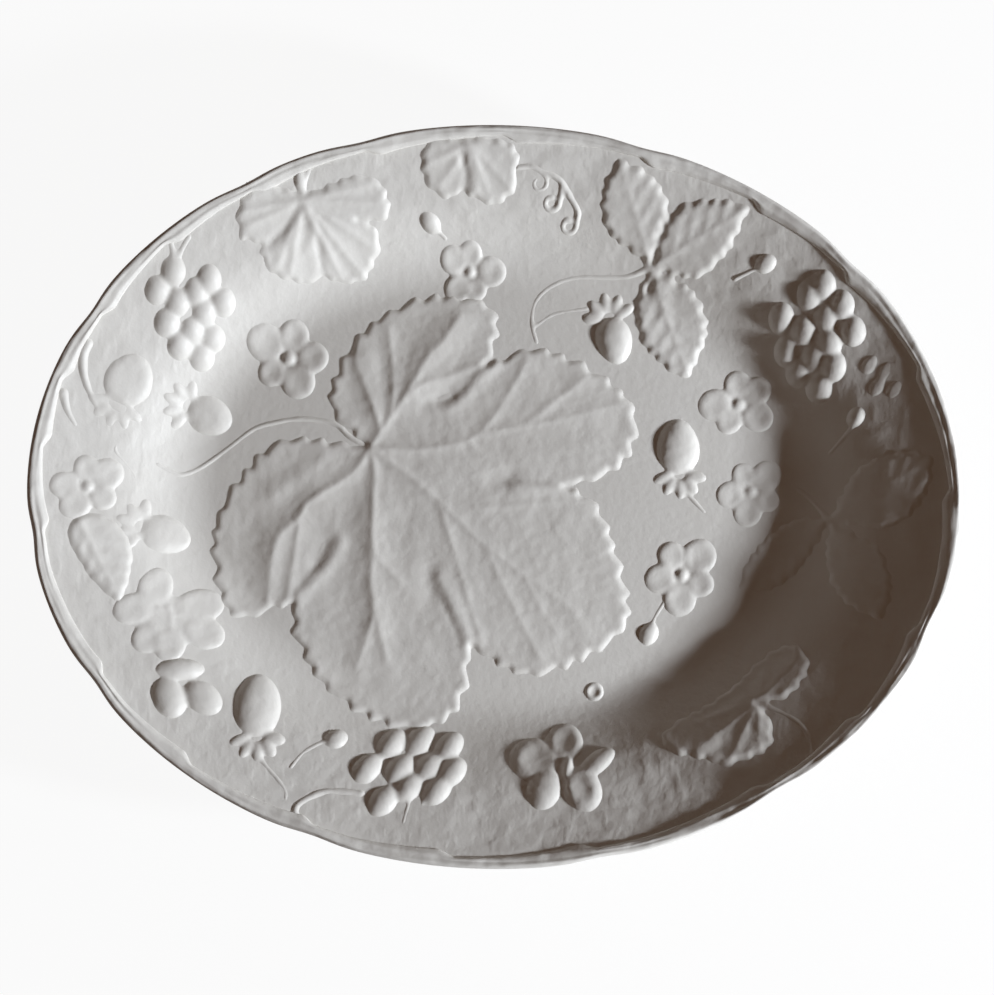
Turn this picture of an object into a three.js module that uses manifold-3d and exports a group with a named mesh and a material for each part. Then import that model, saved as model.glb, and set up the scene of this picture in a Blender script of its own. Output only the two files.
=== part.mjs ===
// Oval majolica dish: a deep well, a soft wall and a broad sloping flange, with an edging of modelled twig,
// an oval foot ring and sprigs of vine, strawberry and blossom laid on the clay.
// Millimetres, Z up, the table at z = 0 and the long axis of the oval along X.

import * as THREE from "three";
import { mergeVertices } from "three/addons/utils/BufferGeometryUtils.js";
import Module from "manifold-3d";

const wasm = await Module();
wasm.setup();

const { degToRad, radToDeg, euclideanModulo, lerp, smoothstep } = THREE.MathUtils;

// Dish body
const RIM_LENGTH = 340;
const RIM_WIDTH = 272;
const WELL_LENGTH = 208;
const WELL_WIDTH = 158;
const WELL_DEPTH = 26;
const FLANGE_WIDTH = 26;
const FLANGE_SLOPE = degToRad(24);
const WALL_EASE = 11;
const CLAY = 6;
const EDGE_CLAY = 4.5;
const OVAL_FACETS = 84;
const WALL_FACETS = 6;
const LIP_FACETS = 3;

// Film of slip between two pieces of clay
const SLIP = 0.3;

// Foot ring
const FOOT_HEIGHT = 5;
const FOOT_WIDTH = 7;
const FOOT_INSET = 9;
const FOOT_TAPER = 1.2;
const FOOT_FACETS = 42;

// Twig edging: a half-round bead along the rim, drawn in and knotted at the notches
const EDGING_WIDTH = 7;
const EDGING_RISE = 2.4;
const EDGING_OVERHANG = 0.8;
const EDGING_FACETS = 4;
const NOTCH_DEPTH = 1.1;
const NOTCH_SPREAD_DEGREES = 3.6;
const NOTCH_REACH = 24;
const KNOT_RISE = 1.1;
const NOTCH_BEARINGS = [-172, -148, -112, -76, -52, -20, 40, 72, 108, 124, 152];

// Heights of the sprigs above the clay, and how deep they are rooted in it before they are cut to their seat
const ROOT = 1.6;
const LEAF_RISE = 2.6;
const LEAF_EDGE = 1.1;
const PETAL_RISE = 2.4;
const PETAL_EDGE = 1.2;
const BUTTON_RISE = 2.2;
const GRAPE_RISE = 4.2;
const PAD_RISE = 1.4;
const FRUIT_RISE = 5.6;
const CALYX_RISE = 2.2;
const CALYX_EDGE = 0.7;
const BUD_RISE = 3.2;

// Outlines that the sprigs share
const LEAF_TOOTH = 2.2;
const SMALL_TOOTH = 1.3;
const VEIN_SPREAD_DEGREES = 12;
const STALK_RADIUS = 1.3;
const TENDRIL_RADIUS = 0.8;
const STALK_STEP = 6.5;
const STALK_SIDES = 3;
const GRAPE_LENGTH = 12;
const GRAPE_WIDTH = 11;
const CALYX_REACH = 7.5;
const PETALS = 5;
const STAR_FACETS = 4 * PETALS;
const LEAFLET_FACETS = 16;
const ROUND_FACETS = 10;
const LUMP_SIDES = 7;
const LUMP_RINGS = 4;

// The sprigs are drawn at full size on a paper pattern with these ovals, which is stretched to the dish.
const PATTERN = { rimLength: 340, rimWidth: 272, wellLength: 208, wellWidth: 158 };
const DISH = { rimLength: RIM_LENGTH, rimWidth: RIM_WIDTH, wellLength: WELL_LENGTH, wellWidth: WELL_WIDTH };

// Mean radius of the well and mean width from there to the rim
function spans(plan) {
  const well = (plan.wellLength + plan.wellWidth) / 4;
  return { well, border: (plan.rimLength + plan.rimWidth) / 4 - well };
}

const dishSpans = spans(DISH);
const patternSpans = spans(PATTERN);

// Half axes of the oval at a share of the way across: -1 is the middle, 0 the edge of the well, 1 the rim
function ovalAt(plan, share) {
  const inside = 1 + Math.min(share, 0);
  const outside = Math.max(share, 0);
  const a = (plan.wellLength * inside + (plan.rimLength - plan.wellLength) * outside) / 2;
  const b = (plan.wellWidth * inside + (plan.rimWidth - plan.wellWidth) * outside) / 2;
  return { a, b };
}

function planPoint(plan, share, angle) {
  const { a, b } = ovalAt(plan, share);
  return new THREE.Vector2(a * Math.cos(angle), b * Math.sin(angle));
}

// The share of a plan point, found by halving
function shareAt(plan, x, y) {
  let low = -1;
  let high = 2;
  for (let step = 0; step < 40; step++) {
    const middle = (low + high) / 2;
    const { a, b } = ovalAt(plan, middle);
    if ((x / a) ** 2 + (y / b) ** 2 < 1) high = middle;
    else low = middle;
  }
  return (low + high) / 2;
}

// Section of the dish: flat well, wall drawn as one soft curve, straight flange, half-round lip.
// t is the distance outside the edge of the well.
const floorTop = FOOT_HEIGHT + SLIP + CLAY;
const lipRadius = EDGE_CLAY / 2;
const flangeEnd = dishSpans.border - EDGING_OVERHANG - lipRadius * (1 + Math.sin(FLANGE_SLOPE));
const wallRun = flangeEnd - FLANGE_WIDTH;
const wallRise = WELL_DEPTH - FLANGE_WIDTH * Math.tan(FLANGE_SLOPE);
const wall = new THREE.CubicBezierCurve(
  new THREE.Vector2(0, 0),
  new THREE.Vector2(WALL_EASE, 0),
  new THREE.Vector2(
    wallRun - WALL_EASE * Math.cos(FLANGE_SLOPE),
    wallRise - WALL_EASE * Math.sin(FLANGE_SLOPE),
  ),
  new THREE.Vector2(wallRun, wallRise),
);

function riseAt(t) {
  if (t <= 0) return 0;
  if (t >= wallRun) return wallRise + (t - wallRun) * Math.tan(FLANGE_SLOPE);
  let low = 0;
  let high = 1;
  for (let step = 0; step < 30; step++) {
    const middle = (low + high) / 2;
    if (wall.getPoint(middle).x < t) low = middle;
    else high = middle;
  }
  return wall.getPoint(high).y;
}

function onDish(x, y) {
  return new THREE.Vector3(x, y, floorTop + riseAt(shareAt(DISH, x, y) * dishSpans.border));
}

function dishNormal(x, y) {
  const step = 0.5;
  const east = onDish(x + step, y).sub(onDish(x - step, y));
  const north = onDish(x, y + step).sub(onDish(x, y - step));
  return east.cross(north).normalize();
}

// How far the rim is drawn in at an angle: 1 in the middle of a notch, 0 between notches
function notchAt(angle) {
  return NOTCH_BEARINGS.reduce((sum, bearing) => {
    const away = turnBetween(radToDeg(angle), bearing);
    return sum + Math.exp(-((away / NOTCH_SPREAD_DEGREES) ** 2));
  }, 0);
}

// Degrees from one bearing to another, the short way round
function turnBetween(bearing, other) {
  return Math.abs(euclideanModulo(bearing - other + 180, 360) - 180);
}

// A round lathe form, its radius the mean radius of the well + t, stretched to the oval and notched
function ovalForm(profile, facets, reshape = (point) => point) {
  const geometry = new THREE.LatheGeometry(profile, facets).rotateX(Math.PI / 2);
  const position = geometry.attributes.position;
  for (let i = 0; i < position.count; i++) {
    const angle = Math.atan2(position.getY(i), position.getX(i));
    const radius = Math.hypot(position.getX(i), position.getY(i));
    const section = reshape(new THREE.Vector2(radius - dishSpans.well, position.getZ(i)), angle);
    const t = section.x;
    const point = planPoint(DISH, t < 0 ? t / dishSpans.well : t / dishSpans.border, angle);
    const drawn = smoothstep(t, dishSpans.border - NOTCH_REACH, dishSpans.border);
    point.multiplyScalar(1 - (NOTCH_DEPTH * drawn * notchAt(angle)) / (dishSpans.well + dishSpans.border));
    position.setXYZ(i, point.x, point.y, section.y);
  }
  return geometry;
}

function lathePoint(t, z) {
  return new THREE.Vector2(dishSpans.well + t, z);
}

// Points across the wall and flange with the slope there, from the edge of the well to the lip
function wallStations() {
  const stations = [];
  for (let i = 0; i <= WALL_FACETS; i++) {
    const point = wall.getPoint(i / WALL_FACETS);
    const tangent = wall.getTangent(i / WALL_FACETS);
    stations.push({ t: point.x, rise: point.y, slope: Math.atan2(tangent.y, tangent.x) });
  }
  for (const t of [(wallRun + flangeEnd) / 2, flangeEnd]) {
    stations.push({ t, rise: riseAt(t), slope: FLANGE_SLOPE });
  }
  return stations;
}

// The dish body; lift raises its upper face, which makes the seat that sprigs are cut to
function dishForm(lift) {
  const stations = wallStations();
  const profile = [new THREE.Vector2(0, floorTop + lift)];
  for (const { t, rise, slope } of stations) {
    profile.push(lathePoint(t - lift * Math.sin(slope), floorTop + rise + lift * Math.cos(slope)));
  }
  const lipT = flangeEnd + lipRadius * Math.sin(FLANGE_SLOPE);
  const lipZ = floorTop + WELL_DEPTH - lipRadius * Math.cos(FLANGE_SLOPE);
  for (let i = 1; i < LIP_FACETS; i++) {
    const turn = Math.PI / 2 + FLANGE_SLOPE - (Math.PI * i) / LIP_FACETS;
    profile.push(lathePoint(lipT + lipRadius * Math.cos(turn), lipZ + lipRadius * Math.sin(turn)));
  }
  const underside = stations.filter((station, index) => index % 2 === 0).reverse();
  for (const { t, rise, slope } of underside) {
    const clay = lerp(CLAY, EDGE_CLAY, t / flangeEnd);
    profile.push(lathePoint(t + clay * Math.sin(slope), floorTop + rise - clay * Math.cos(slope)));
  }
  profile.push(new THREE.Vector2(0, floorTop - CLAY));
  return ovalForm(profile.reverse(), OVAL_FACETS);
}

function footForm() {
  const outer = -FOOT_INSET;
  const inner = outer - FOOT_WIDTH;
  const profile = [
    lathePoint(inner, FOOT_HEIGHT),
    lathePoint(inner + FOOT_TAPER, 0),
    lathePoint(outer - FOOT_TAPER, 0),
    lathePoint(outer, FOOT_HEIGHT),
    lathePoint(inner, FOOT_HEIGHT),
  ];
  return ovalForm(profile, FOOT_FACETS);
}

// The edging lies on the flange with the slip film under it.
const edgingInner = dishSpans.border - EDGING_WIDTH * Math.cos(FLANGE_SLOPE);

function edgingForm() {
  const half = EDGING_WIDTH / 2;
  const middleT = edgingInner + half * Math.cos(FLANGE_SLOPE) + SLIP * Math.sin(FLANGE_SLOPE);
  const middleZ = floorTop + riseAt(middleT);
  const profile = [];
  for (let i = 0; i <= EDGING_FACETS; i++) {
    const turn = (Math.PI * i) / EDGING_FACETS;
    const along = -half * Math.cos(turn);
    const above = SLIP + EDGING_RISE * Math.sin(turn);
    const t = middleT + along * Math.cos(FLANGE_SLOPE) - above * Math.sin(FLANGE_SLOPE);
    const z = middleZ + along * Math.sin(FLANGE_SLOPE) + above * Math.cos(FLANGE_SLOPE);
    profile.push(lathePoint(t, z));
  }
  profile.push(profile[0].clone());
  const knotted = (point, angle) => {
    const above = point.y - floorTop - riseAt(point.x) - SLIP;
    const share = Math.max(above, 0) / EDGING_RISE;
    return new THREE.Vector2(point.x, point.y + KNOT_RISE * notchAt(angle) * share);
  };
  return ovalForm(profile.reverse(), OVAL_FACETS, knotted);
}

// What is trimmed off the sprigs: all that lies under or outside the edging
function trimForm() {
  const inner = edgingInner - SLIP;
  const outer = inner + RIM_WIDTH;
  const top = floorTop + WELL_DEPTH + RIM_WIDTH;
  const profile = [
    lathePoint(inner, 0),
    lathePoint(outer, 0),
    lathePoint(outer, top),
    lathePoint(inner, top),
    lathePoint(inner, 0),
  ];
  return ovalForm(profile, OVAL_FACETS);
}

// Solids and meshes
function solidOf(geometry) {
  geometry.deleteAttribute("normal");
  geometry.deleteAttribute("uv");
  const merged = mergeVertices(geometry);
  return solidFrom(merged.attributes.position.array, new Uint32Array(merged.index.array));
}

function solidFrom(vertProperties, triVerts) {
  return new wasm.Manifold(new wasm.Mesh({ numProp: 3, vertProperties, triVerts }));
}

function joined(solids) {
  return solids.reduce((whole, piece) => whole.add(piece));
}

function cut(solid, cutters) {
  return cutters.reduce((rest, cutter) => rest.subtract(cutter), solid);
}

function geometryOf(solid) {
  const mesh = solid.getMesh();
  const geometry = new THREE.BufferGeometry();
  geometry.setAttribute("position", new THREE.BufferAttribute(mesh.vertProperties, 3));
  geometry.setIndex(new THREE.BufferAttribute(mesh.triVerts, 1));
  geometry.computeVertexNormals();
  return geometry;
}

function glazedMesh(name, geometry) {
  const glaze = new THREE.MeshStandardMaterial({ color: 0xe6e6e2, roughness: 0.22, metalness: 0 });
  const mesh = new THREE.Mesh(geometry, glaze);
  mesh.name = name;
  return mesh;
}

// Places on the pattern: a bearing round the oval in degrees, and how far in from the rim,
// out from the edge of the well, or in from the edge of the well
function fromRim(bearing, inset) {
  return planPoint(PATTERN, 1 - inset / patternSpans.border, degToRad(bearing));
}

function pastWell(bearing, outset) {
  return planPoint(PATTERN, outset / patternSpans.border, degToRad(bearing));
}

function fromWell(bearing, inset) {
  return planPoint(PATTERN, -inset / patternSpans.well, degToRad(bearing));
}

// A place moved by an offset that is turned to a heading in degrees
function offset(place, along, aside = 0, heading = 0) {
  const turned = new THREE.Vector2(along, aside).rotateAround(new THREE.Vector2(), degToRad(heading));
  return turned.add(place);
}

function path(place, offsets) {
  return offsets.map(([along, aside]) => offset(place, along, aside));
}

// Lays a sprig from the flat pattern, where z is the height above the clay, on the dish.
function laidOnDish(sprig) {
  const mesh = sprig.getMesh();
  const vertices = mesh.vertProperties.slice();
  for (let i = 0; i < vertices.length; i += 3) {
    const [x, y, height] = vertices.slice(i, i + 3);
    const share = shareAt(PATTERN, x, y);
    const { a, b } = ovalAt(PATTERN, share);
    const place = planPoint(DISH, share, Math.atan2(y / b, x / a));
    const point = onDish(place.x, place.y).addScaledVector(dishNormal(place.x, place.y), height);
    point.toArray(vertices, i);
  }
  return solidFrom(vertices, mesh.triVerts);
}

// A disc of clay pressed into a sprig: reach(angle) is its outline and rise(share, angle) its height,
// where share runs from 0 in the middle to 1 at the outline. grow swells a sprig that cuts another.
function pressedDisc(place, heading, facets, shares, reach, rise, grow) {
  const top = shares.map((share) => new THREE.Vector2(share, 1));
  const bottom = shares.map((share) => new THREE.Vector2(share, 0)).reverse();
  const profile = [new THREE.Vector2(0, 1), ...top, ...bottom, new THREE.Vector2(0, 0)];
  const geometry = new THREE.LatheGeometry(profile.reverse(), facets).rotateX(Math.PI / 2);
  const position = geometry.attributes.position;
  for (let i = 0; i < position.count; i++) {
    const angle = Math.atan2(position.getY(i), position.getX(i));
    const share = Math.hypot(position.getX(i), position.getY(i));
    const point = offset(place, share * (reach(angle) + grow), 0, heading + radToDeg(angle));
    const height = position.getZ(i) > 0.5 ? rise(share, angle) + grow : -ROOT;
    position.setXYZ(i, point.x, point.y, height);
  }
  return solidOf(geometry);
}

// Whether a share of the way out on a disc is its outline
function atOutline(share) {
  return share > 0.99;
}

// A round form set on the pattern, cut off at its root
function seated(geometry, place, heading) {
  const position = geometry.attributes.position;
  for (let i = 0; i < position.count; i++) position.setZ(i, Math.max(position.getZ(i), -ROOT));
  return solidOf(geometry.rotateZ(degToRad(heading)).translate(place.x, place.y, 0));
}

function lump(place, heading, length, width, rise, grow) {
  const geometry = new THREE.SphereGeometry(1, LUMP_SIDES, LUMP_RINGS).rotateX(Math.PI / 2);
  geometry.scale(length / 2 + grow, width / 2 + grow, rise + grow);
  return seated(geometry, place, heading);
}

// A round stalk along places on the pattern, sunk to half its thickness
function stalk(places, radius, grow) {
  const route = new THREE.CatmullRomCurve3(places.map((place) => new THREE.Vector3(place.x, place.y, 0)));
  const section = new THREE.Shape().absarc(0, 0, radius + grow, 0, 2 * Math.PI);
  const steps = Math.max(3, Math.round(route.getLength() / STALK_STEP));
  const settings = { steps, curveSegments: STALK_SIDES, extrudePath: route };
  return solidOf(new THREE.ExtrudeGeometry(section, settings));
}

// Reach of an oval of that length and width at an angle
function ovalReach(length, width, angle) {
  return 1 / Math.hypot((2 * Math.cos(angle)) / length, (2 * Math.sin(angle)) / width);
}

// Depth of the teeth along an edge with that many facets: a tooth to every other facet
function toothAt(tooth, facets, angle) {
  return tooth * (0.5 - 0.5 * Math.cos((facets * angle) / 2));
}

// Outline of a lobed leaf from pairs of bearing and reach, eased between one pair and the next
function leafOutline(pairs, facets, tooth) {
  const turned = pairs.map(([bearing, reach]) => [degToRad(bearing), reach]);
  const sorted = turned.sort((one, two) => one[0] - two[0]);
  return (angle) => {
    const next = Math.max(0, sorted.findIndex((pair) => pair[0] > angle));
    const [endAngle, endReach] = sorted[next];
    const [startAngle, startReach] = sorted.at(next - 1);
    const span = euclideanModulo(endAngle - startAngle, 2 * Math.PI);
    const passed = euclideanModulo(angle - startAngle, 2 * Math.PI);
    const reach = lerp(startReach, endReach, (1 - Math.cos((Math.PI * passed) / span)) / 2);
    return reach - toothAt(tooth, facets, angle);
  };
}

// A lobed leaf: its surface swells between the veins, which run from the middle to the tips of the lobes.
function lobedLeaf(place, { outline, veins, facets, shares, tooth }, grow) {
  const rise = (share, angle) => {
    const away = Math.min(...veins.map((vein) => turnBetween(radToDeg(angle), vein)));
    const swell = 0.35 + 0.65 * smoothstep(away, 0, VEIN_SPREAD_DEGREES);
    return atOutline(share) ? LEAF_EDGE : lerp(LEAF_EDGE, LEAF_RISE, swell);
  };
  return pressedDisc(place, 0, facets, shares, leafOutline(outline, facets, tooth), rise, grow);
}

// A toothed oval leaflet with a grooved midrib, from its base outwards
function leaflet(base, heading, length, width, grow) {
  const reach = (angle) => {
    return ovalReach(length, width, angle) - toothAt(SMALL_TOOTH, LEAFLET_FACETS, angle);
  };
  const rise = (share, angle) => {
    const aside = Math.abs(Math.sin(angle)) * share;
    return atOutline(share) ? LEAF_EDGE : lerp(LEAF_EDGE, LEAF_RISE, Math.min(1, 0.4 + 2 * aside));
  };
  const middle = offset(base, length / 2, 0, heading);
  return pressedDisc(middle, heading, LEAFLET_FACETS, [0.5, 1], reach, rise, grow);
}

// A five-petalled blossom with cupped petals and a button in the middle
function blossom(place, heading, radius, grow) {
  const petal = (angle) => Math.sqrt(Math.abs(Math.cos((PETALS / 2) * angle)));
  const reach = (angle) => radius * lerp(0.68, 1, petal(angle));
  const [button, groove, cup] = [0.2, 0.36, 0.8];
  const rise = (share, angle) => {
    if (share < (button + groove) / 2) return BUTTON_RISE;
    if (share < (groove + cup) / 2 || atOutline(share)) return PETAL_EDGE;
    return lerp(PETAL_EDGE, PETAL_RISE, petal(angle));
  };
  return pressedDisc(place, heading, STAR_FACETS, [button, groove, cup, 1], reach, rise, grow);
}

// A strawberry lying on its side, the calyx as a five-pointed star at its stalk end
const FRUIT_OUTLINE = [[0, 0], [0.06, 0.6], [0.3, 1], [0.62, 0.82], [0.87, 0.42], [1, 0]];

function strawberry(place, heading, length, width, grow) {
  const profile = FRUIT_OUTLINE.map(([along, out]) => {
    return new THREE.Vector2(out * (width / 2 + grow), (along - 0.5) * (length + 2 * grow));
  });
  const geometry = new THREE.LatheGeometry(profile, ROUND_FACETS).rotateZ(-Math.PI / 2);
  geometry.scale(1, 1, (FRUIT_RISE + grow) / (width / 2 + grow));
  const sepal = (angle) => CALYX_REACH * lerp(0.45, 1, Math.abs(Math.cos((PETALS / 2) * angle)));
  const crown = (share) => (atOutline(share) ? CALYX_EDGE : CALYX_RISE);
  const hub = offset(place, -length / 2, 0, heading);
  const calyx = pressedDisc(hub, heading + 180, STAR_FACETS, [1], sepal, crown, grow);
  return seated(geometry, place, heading).add(calyx);
}

// A bunch of grapes on the thin pad of clay that it was pressed with
function bunch(place, offsets, padLength, padWidth, grow) {
  const padReach = (angle) => ovalReach(padLength, padWidth, angle);
  const pad = pressedDisc(place, 0, ROUND_FACETS, [0.5, 1], padReach, () => PAD_RISE, grow);
  const grapes = path(place, offsets).map((spot) => {
    return lump(spot, 90, GRAPE_LENGTH, GRAPE_WIDTH, GRAPE_RISE, grow);
  });
  return joined([pad, ...grapes]);
}

// A bud on its stem
function bud(place, heading, length, width, stem, grow) {
  const head = lump(place, heading, length, width, BUD_RISE, grow);
  return head.add(stalk(path(place, stem), TENDRIL_RADIUS, grow));
}

// The vine in the well
const vineHub = fromWell(150.5, 44);
const VINE_STALK = [[-11, 6], [-25, 11], [-36, 9], [-44, 6], [-53, -1], [-63, -8], [-70, -11], [-79, -8]];
const VINE_LEAF = {
  outline: [
    [140, 19], [116, 33], [95, 45], [69, 61], [50, 71], [37, 57], [31, 76], [8, 103], [-2, 97], [-9, 78],
    [-20, 99], [-34, 117], [-54, 103], [-61, 86], [-75, 106], [-99, 92], [-112, 74], [-116, 64], [-128, 82],
    [-152, 66], [-169, 50], [172, 32], [158, 13],
  ],
  veins: [55, 20, -30, -48, -83, -130],
  facets: 80,
  shares: [0.35, 0.75, 1],
  tooth: LEAF_TOOTH,
};

// Lobed leaves on the flange
const upperLeftLeaf = fromRim(119, 23.5);
const UPPER_LEFT_LEAF = {
  outline: [
    [179, 27], [150, 22], [120, 15], [86, 16], [62, 18], [40, 26], [16, 29], [2, 22], [-24, 27], [-40, 27],
    [-60, 19], [-96, 19], [-124, 22], [-150, 20], [-168, 26],
  ],
  veins: [10, -30, -95, -140, 165, 60],
  facets: 40,
  shares: [0.6, 1],
  tooth: SMALL_TOOTH,
};
const topLeaf = fromRim(94, 18);
const TOP_LEAF = {
  outline: [[150, 17], [92, 9], [30, 13], [-2, 17], [-24, 19], [-60, 14], [-100, 9], [-140, 14], [-178, 18]],
  veins: [-15, -150, -75],
  facets: 32,
  shares: [0.5, 1],
  tooth: SMALL_TOOTH,
};
const lowerRightLeaf = pastWell(-48, 25.5);
const LOWER_RIGHT_LEAF = {
  outline: [
    [172, 24], [140, 17], [100, 18], [60, 29], [38, 35], [18, 22], [4, 16], [-35, 17], [-62, 18], [-98, 20],
    [-125, 20], [-160, 27],
  ],
  veins: [40, -50, -110, -160],
  facets: 40,
  shares: [0.6, 1],
  tooth: SMALL_TOOTH,
};

// Bunches of grapes: the berries by their offsets from the middle of the bunch
const grapesLeft = fromRim(143.5, 26);
const GRAPES_LEFT = [
  [-6, 14], [-12, 7], [-4, 4], [2, 8], [7, 12], [12, 5], [5, 1], [-8, -4], [1, -6], [8, -8], [-3, -11],
  [4, -15],
];
const grapesRight = fromRim(34.5, 25);
const GRAPES_RIGHT = [
  [-3, 13], [-13, 6], [3, 16], [8, 9], [13, 1], [2, 6], [-4, 0], [5, -3], [-10, -6], [0, -9], [7, -11],
  [-6, -13], [2, -18],
];
const grapesBottom = pastWell(-103, 24.5);
const GRAPES_BOTTOM = [[-7, 8], [4, 9], [14, 9], [-14, -1], [-4, -1], [7, 1], [13, -4], [-1, -6], [-9, -13]];
const GRAPES_BOTTOM_STEM = [[-16, -3], [-27, -8], [-34, -9], [-40, -14], [-39, -20]];

const trefoilTop = pastWell(63.5, 21.5);
const TREFOIL_TOP_STEM = [[2, -1], [-10, -3], [-27, -3], [-37, -6], [-43, -12], [-44, -20]];
const trefoilRight = pastWell(-2.5, 19.5);
const leftRunner = offset(vineHub, -92.6, -4.7);
const LEFT_RUNNER = [[-0.5, 6.5], [0, 2], [6, -8], [7, -14]];
const topTendril = fromRim(84, 20);
const lowerLeftFruit = pastWell(-131, 24.5);
const rightFruit = fromWell(24, 25.5);

// Each sprig by name, in the order it is laid: where two meet, the earlier is cut back under the later.
const sprigs = {
  vine_leaf_centre: (grow) => lobedLeaf(vineHub, VINE_LEAF, grow),
  vine_leaf_upper_left: (grow) =>
    joined([
      lobedLeaf(upperLeftLeaf, UPPER_LEFT_LEAF, grow),
      stalk(path(upperLeftLeaf, [[-2, 11], [-6, 15], [-5, 18]]), STALK_RADIUS, grow),
    ]),
  vine_leaf_top: (grow) => lobedLeaf(topLeaf, TOP_LEAF, grow),
  vine_leaf_lower_right: (grow) =>
    joined([
      lobedLeaf(lowerRightLeaf, LOWER_RIGHT_LEAF, grow),
      stalk(path(lowerRightLeaf, [[12, 2], [24, -2], [28, -9], [26.5, -15]]), STALK_RADIUS, grow),
    ]),
  strawberry_leaf_top: (grow) =>
    joined([
      leaflet(trefoilTop, 106, 39, 24, grow),
      leaflet(trefoilTop, 32, 40, 23, grow),
      leaflet(trefoilTop, -69, 41, 24, grow),
      stalk(path(trefoilTop, TREFOIL_TOP_STEM), STALK_RADIUS, grow),
    ]),
  strawberry_leaf_right: (grow) =>
    joined([
      leaflet(trefoilRight, 33, 43, 24, grow),
      leaflet(trefoilRight, -66, 41, 23, grow),
      leaflet(trefoilRight, -141, 40, 22, grow),
      stalk(path(trefoilRight, [[2, -1], [-2, 8], [-5, 15]]), STALK_RADIUS, grow),
    ]),
  strawberry_leaf_left: (grow) => leaflet(fromRim(-176, 18.5), -74, 33, 23, grow),
  vine_stalk: (grow) => stalk(path(vineHub, VINE_STALK), STALK_RADIUS, grow),
  strawberry_runner: (grow) => stalk(path(leftRunner, LEFT_RUNNER), STALK_RADIUS, grow),
  tendril_top: (grow) =>
    joined([
      stalk(path(topTendril, [[-9, 6], [-3, 7], [3, 3], [2, 0], [-1, 0]]), TENDRIL_RADIUS, grow),
      stalk(path(topTendril, [[2, 3], [8, -3], [13, -10], [12, -16], [9, -15]]), TENDRIL_RADIUS, grow),
    ]),
  flower_upper_left: (grow) => blossom(pastWell(138, 1), 20, 15, grow),
  flower_top: (grow) => blossom(pastWell(95.5, 8.5), 10, 12, grow),
  flower_left: (grow) => blossom(fromRim(179, 19.5), 50, 12, grow),
  flower_lower_left: (grow) => blossom(pastWell(-154, 25.5), 30, 16, grow),
  flower_bottom: (grow) => blossom(pastWell(-77, 22), 15, 17, grow),
  flower_right: (grow) => blossom(fromWell(-25, 23), 40, 14, grow),
  flower_right_wall: (grow) => blossom(pastWell(29.5, 1), 25, 13.5, grow),
  flower_right_lower: (grow) => blossom(fromWell(5, 7), 60, 13, grow),
  buds_lower_left: (grow) =>
    joined([
      lump(fromRim(-144.5, 27), 5, 19, 10, BUD_RISE, grow),
      lump(fromRim(-140.5, 19.5), 75, 17, 13, BUD_RISE, grow),
      lump(fromRim(-138, 27), 15, 16, 11, BUD_RISE, grow),
    ]),
  bud_top: (grow) => bud(pastWell(101, 27.5), 30, 9, 8, [[1, -1], [4, -4], [6, -7]], grow),
  bud_upper_right: (grow) => bud(fromRim(48.5, 19.5), 60, 8, 7, [[-1, 0], [-5, -2], [-11, -5]], grow),
  bud_right: (grow) => bud(fromRim(17.5, 28.5), 60, 8, 7, [[0, -1], [-2, -5], [-8, -13]], grow),
  bud_lower_right: (grow) => bud(fromWell(-47, 16.5), 75, 10, 7, [[0, 1], [2, 6], [5, 11]], grow),
  bud_lower_left: (grow) => bud(pastWell(-116, 21), 75, 8, 7, [[-1, 0], [-11, -5], [-16, -10]], grow),
  bud_bottom: (grow) => lump(fromWell(-67, 6.7), 0, 6, 6, BUD_RISE, grow),
  grapes_left: (grow) =>
    joined([
      bunch(grapesLeft, GRAPES_LEFT, 20, 30, grow),
      stalk(path(grapesLeft, [[-6, 16], [-6, 20], [-6.5, 23]]), STALK_RADIUS, grow),
    ]),
  grapes_right: (grow) =>
    joined([
      bunch(grapesRight, GRAPES_RIGHT, 22, 36, grow),
      stalk(path(grapesRight, [[0, 16], [2, 19], [5, 20], [8, 20]]), STALK_RADIUS, grow),
    ]),
  grapes_bottom: (grow) =>
    joined([
      bunch(grapesBottom, GRAPES_BOTTOM, 34, 20, grow),
      stalk(path(grapesBottom, GRAPES_BOTTOM_STEM), STALK_RADIUS, grow),
    ]),
  strawberry_upper_left: (grow) => strawberry(fromRim(159.5, 23.5), 66, 21, 17.5, grow),
  strawberry_left_wall: (grow) => strawberry(pastWell(158.5, 10), -27, 18.5, 15.5, grow),
  strawberry_left: (grow) => strawberry(pastWell(-171.5, 17.5), -20, 18, 16, grow),
  strawberry_lower_left: (grow) =>
    joined([
      strawberry(lowerLeftFruit, 90, 22, 18.5, grow),
      stalk(path(lowerLeftFruit, [[0, -12], [3, -20], [11, -29], [12, -34]]), STALK_RADIUS, grow),
    ]),
  strawberry_top: (grow) => strawberry(fromWell(62, 9.5), -80, 17, 15, grow),
  strawberry_right: (grow) =>
    joined([
      strawberry(rightFruit, 92, 22, 17, grow),
      stalk(path(rightFruit, [[2, -12], [4, -16], [9, -23]]), TENDRIL_RADIUS, grow),
    ]),
};

// The sprigs are cut to each other on the pattern, and to the dish and its edging where they lie.
const seat = [solidOf(dishForm(SLIP)), solidOf(trimForm())];
const drawn = Object.entries(sprigs).map(([name, draw]) => ({ name, own: draw(0), cutter: draw(SLIP) }));

const ornament = new THREE.Group();
drawn.forEach(({ name, own }, index) => {
  const later = drawn.slice(index + 1).map((sprig) => sprig.cutter);
  const sprig = cut(laidOnDish(cut(own, later)), seat);
  ornament.add(glazedMesh(name, geometryOf(sprig)));
});

const footRing = glazedMesh("foot_ring", geometryOf(solidOf(footForm())));
footRing.material.color.set(0xd8cdb9);
footRing.material.roughness = 0.8;

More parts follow.
